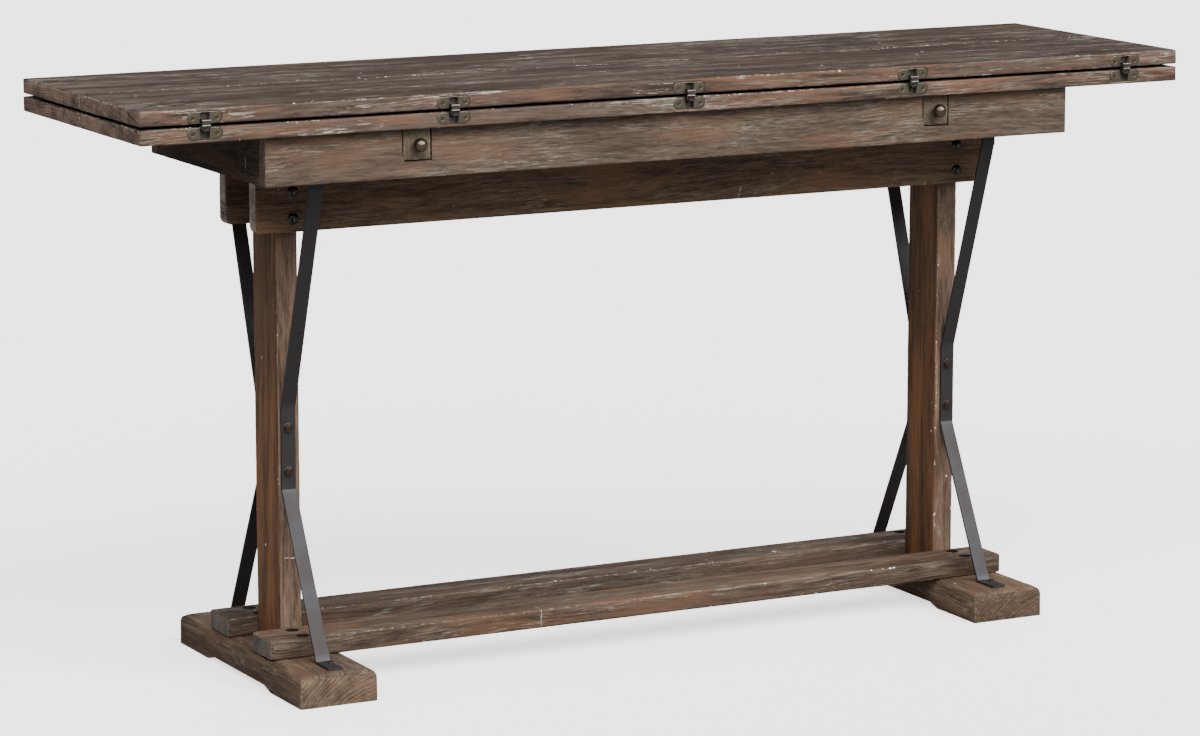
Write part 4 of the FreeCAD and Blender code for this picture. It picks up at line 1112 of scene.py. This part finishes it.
class TABLE_OT_hinges(bpy.types.Operator):
    """Cross-link hinges: plates, links, pins and screws"""

    bl_idname = "table.hinges"
    bl_label = "Hinges"

    def execute(self, context):
        bronze, slot = metal_material("Hinge bronze"), metal_material("Slot steel")
        steel, dull = metal_material("Link steel"), metal_material("Dull steel in painted shade")
        rubbed = metal_material("Rubbed steel")
        for level in ("lower", "upper"):
            screws = bmesh.new()
            for number in HINGES:
                self.cup(f"{level}_hinge_cup_{number}", [bronze, slot], screws)
            metal_piece(screws, f"{level}_hinge_screws", f"{level}_hinge_cup_1",
                        [metal_material("Screw brass")], slot="screw_brass", stands_for_it=False)
        for number in HINGES:
            self.link(f"outer_link_{number}", [steel, rubbed, steel], 1.1 * MM)
            # The narrow links take the dark steel, which is partly painted shade.
            self.link(f"inner_link_{number}", [dull, dull, dull], 1.3 * MM)
        for node in ("lower_pivot_pins", "upper_pivot_pins"):
            plain_finish(node, steel)
        return {"FINISHED"}

    def cup(self, node, materials, screws):
        """A pill-shaped plate with a sunk hole at each end, and the screws that fill them."""
        low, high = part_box(node)
        middle = (low + high) / 2
        screw_place, slot_reach, face_depth = 15.8 * MM, 7 * MM, 0.6 * MM
        sunk = in_mm((-2.6, 0), (-2.6, 1.1), (-1.4, 1.1), (0.1, 3.15), (0.6, 3.15), (0.6, 0))
        screw = in_mm((-7, 0), (-6, 0.9), (-1.6, 0.95), (-0.35, 2.6), (-0.15, 2.6), (0.02, 1.9),
                      (0.02, 1.05), (-0.8, 0.55), (-0.8, 0))
        drills = bmesh.new()
        for side in (-1, 1):
            hole = (middle.x + side * screw_place, low.y, middle.z)
            turned(drills, sunk, hole, FORWARDS, 28)
            turned(screws, screw, hole, FORWARDS, 24)
        settle(drills)
        bm = cut_out(merged_copy(node), drills)
        dissolve_flat(bm)
        end_radius = (high.z - low.z) / 2
        straight = (high.x - low.x) / 2 - end_radius

        def on_outline(vert):
            aside = max(0.0, abs(vert.co.x - middle.x) - straight)
            out = math.hypot(aside, vert.co.z - middle.z)
            return vert.co.y <= low.y + 0.01 * MM and out > end_radius - 0.05 * MM

        outline = [edge for edge in sharp_edges(bm) if all(map(on_outline, edge.verts))]
        bevelled(bm, outline, bpy.context.scene.table_metal.plate_rim, 5)
        bevelled(bm, sharp_edges(bm), 0.2 * MM)
        for face in bm.faces:
            place = face.calc_center_median()
            inside = place.y > low.y + face_depth
            near = abs(place.x - middle.x) < slot_reach and abs(place.z - middle.z) < slot_reach
            face.material_index = int(inside and near)
        metal_piece(bm, f"sunk_{node}", node, materials, 20)

    def link(self, node, materials, flange):
        """A folded link: its web is sunk between flanges and ends in a lip by the folding line.
        The materials are its own, the rubbed lip's and that of the far end."""
        sunk, lip_depth, far_end = 0.45 * MM, 0.2 * MM, 5.5 * MM
        bm = merged_copy(node)
        bevelled(bm, sharp_edges(bm), 0.1 * MM, 1)
        bm.normal_update()
        front = max((f for f in bm.faces if f.normal.y < -0.99), key=lambda f: f.calc_area())
        face_y = front.calc_center_median().y
        bmesh.ops.inset_region(bm, faces=[front], thickness=flange, depth=-sunk, use_even_offset=True)
        fold = (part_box("lower_hinge_cup_1")[1].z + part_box("upper_hinge_cup_1")[0].z) / 2
        up = 1 if node.startswith("outer") else -1
        bm.normal_update()
        for face in bm.faces:
            place = face.calc_center_median()
            past = up * (place.z - fold)
            lip = past < flange and face.normal.y < -0.3 and place.y < face_y + lip_depth
            face.material_index = 1 if lip else 2 if past > far_end else 0
        metal_piece(bm, f"folded_{node}", node, materials, 20)


class TABLE_OT_stage(bpy.types.Operator):
    """Camera, floor and soft light"""

    bl_idname = "table.stage"
    bl_label = "Stage"

    def execute(self, context):
        stage = context.scene.table_stage
        self.camera(stage)
        self.floor(stage)
        self.backdrop(stage)
        self.lights(stage)
        return {"FINISHED"}

    def camera(self, stage):
        scene = bpy.context.scene
        camera = bpy.data.objects.new("camera", bpy.data.cameras.new("camera"))
        camera.location = stage.camera_place
        camera.rotation_euler = stage.camera_turn
        camera.data.lens = stage.focal_length
        camera.data.sensor_width = 36.0
        camera.data.clip_end = 200.0
        scene.collection.objects.link(camera)
        scene.camera = camera

    def floor(self, stage):
        """A square floor that looks paler than the light it sends back up."""
        bm = bmesh.new()
        bmesh.ops.create_grid(bm, x_segments=1, y_segments=1, size=stage.floor_size / 2)
        mesh = bpy.data.meshes.new("floor")
        bm.to_mesh(mesh)
        bm.free()
        floor = bpy.data.objects.new("floor", mesh)
        bpy.context.scene.collection.objects.link(floor)
        material = bpy.data.materials.new("Floor")
        tree = empty_tree(material)
        pale = rgba(stage.floor_colour)
        paint = tree.add("ShaderNodeBsdfDiffuse", {"Color": pale})
        glow = tree.add("ShaderNodeEmission", {"Color": pale, "Strength": stage.floor_glow})
        seen = tree.add("ShaderNodeAddShader", {0: paint.outputs[0], 1: glow.outputs[0]})
        lit = tree.add("ShaderNodeBsdfDiffuse", {"Color": rgba(stage.floor_bounce)})
        tree.add("ShaderNodeOutputMaterial", {"Surface": self.either(tree, lit, seen)})
        mesh.materials.append(material)

    def backdrop(self, stage):
        """Even light from all round, and the pale space that is seen behind the table."""
        world = bpy.data.worlds.new("studio")
        tree = empty_tree(world)
        white = (1.0, 1.0, 1.0, 1.0)
        light = tree.add("ShaderNodeBackground", {"Color": white, "Strength": stage.sky_strength})
        seen = tree.add("ShaderNodeBackground", {"Color": white, "Strength": stage.backdrop_strength})
        tree.add("ShaderNodeOutputWorld", {"Surface": self.either(tree, light, seen)})
        bpy.context.scene.world = world

    def either(self, tree, lit, seen):
        """One shader for the light that goes round, and another for what is seen directly."""
        direct = tree.add("ShaderNodeLightPath").outputs["Is Camera Ray"]
        values = {0: direct, 1: lit.outputs[0], 2: seen.outputs[0]}
        return tree.add("ShaderNodeMixShader", values).outputs[0]

    def lights(self, stage):
        # Name, strength, height above the floor, turn to the right of straight ahead, and width.
        lights = (
            ("front_light", stage.front_strength, 45, -8, 60),
            ("right_light", stage.right_strength, 38, 40, 22),
            ("left_light", stage.left_strength, 40, -62, 34),
            ("back_light", stage.back_strength, 24, 160, 60),
        )
        for name, strength, height, side, width in lights:
            sun = bpy.data.lights.new(name, "SUN")
            sun.energy = strength
            sun.angle = math.radians(width)
            lamp = bpy.data.objects.new(name, sun)
            lamp.rotation_euler = Euler((math.radians(90 - height), 0, math.radians(side)))
            lamp.visible_glossy = name != "back_light"
            bpy.context.scene.collection.objects.link(lamp)


class TABLE_PT_panel(bpy.types.Panel):
    """Lists the steps that dress the table"""

    bl_idname = "TABLE_PT_panel"
    bl_label = "Console table"
    bl_space_type = "VIEW_3D"
    bl_region_type = "UI"
    bl_category = "Console table"

    def draw(self, context):
        for group in ("table_wood", "table_metal", "table_stage"):
            settings = getattr(context.scene, group)
            box = self.layout.box()
            for name in settings.bl_rna.properties.keys():
                if name not in ("rna_type", "name"):
                    box.prop(settings, name)
        for operator in OPERATORS:
            self.layout.operator(operator.bl_idname)


OPERATORS = (
    TABLE_OT_leaves, TABLE_OT_apron, TABLE_OT_lopers, TABLE_OT_trestles, TABLE_OT_straps,
    TABLE_OT_bolts, TABLE_OT_hinges, TABLE_OT_stage,
)
SETTINGS = {"table_wood": WoodSettings, "table_metal": MetalSettings, "table_stage": StageSettings}
CLASSES = (*SETTINGS.values(), *OPERATORS, TABLE_PT_panel)


def register():
    for made_class in CLASSES:
        bpy.utils.register_class(made_class)
    for name, group in SETTINGS.items():
        setattr(bpy.types.Scene, name, bpy.props.PointerProperty(type=group))


def unregister():
    for name in SETTINGS:
        delattr(bpy.types.Scene, name)
    for made_class in reversed(CLASSES):
        bpy.utils.unregister_class(made_class)


def main():
    register()
    bpy.ops.table.leaves()
    bpy.ops.table.apron()
    bpy.ops.table.lopers()
    bpy.ops.table.trestles()
    bpy.ops.table.straps()
    bpy.ops.table.bolts()
    bpy.ops.table.hinges()
    bpy.ops.table.stage()


if __name__ == "__main__":
    main()
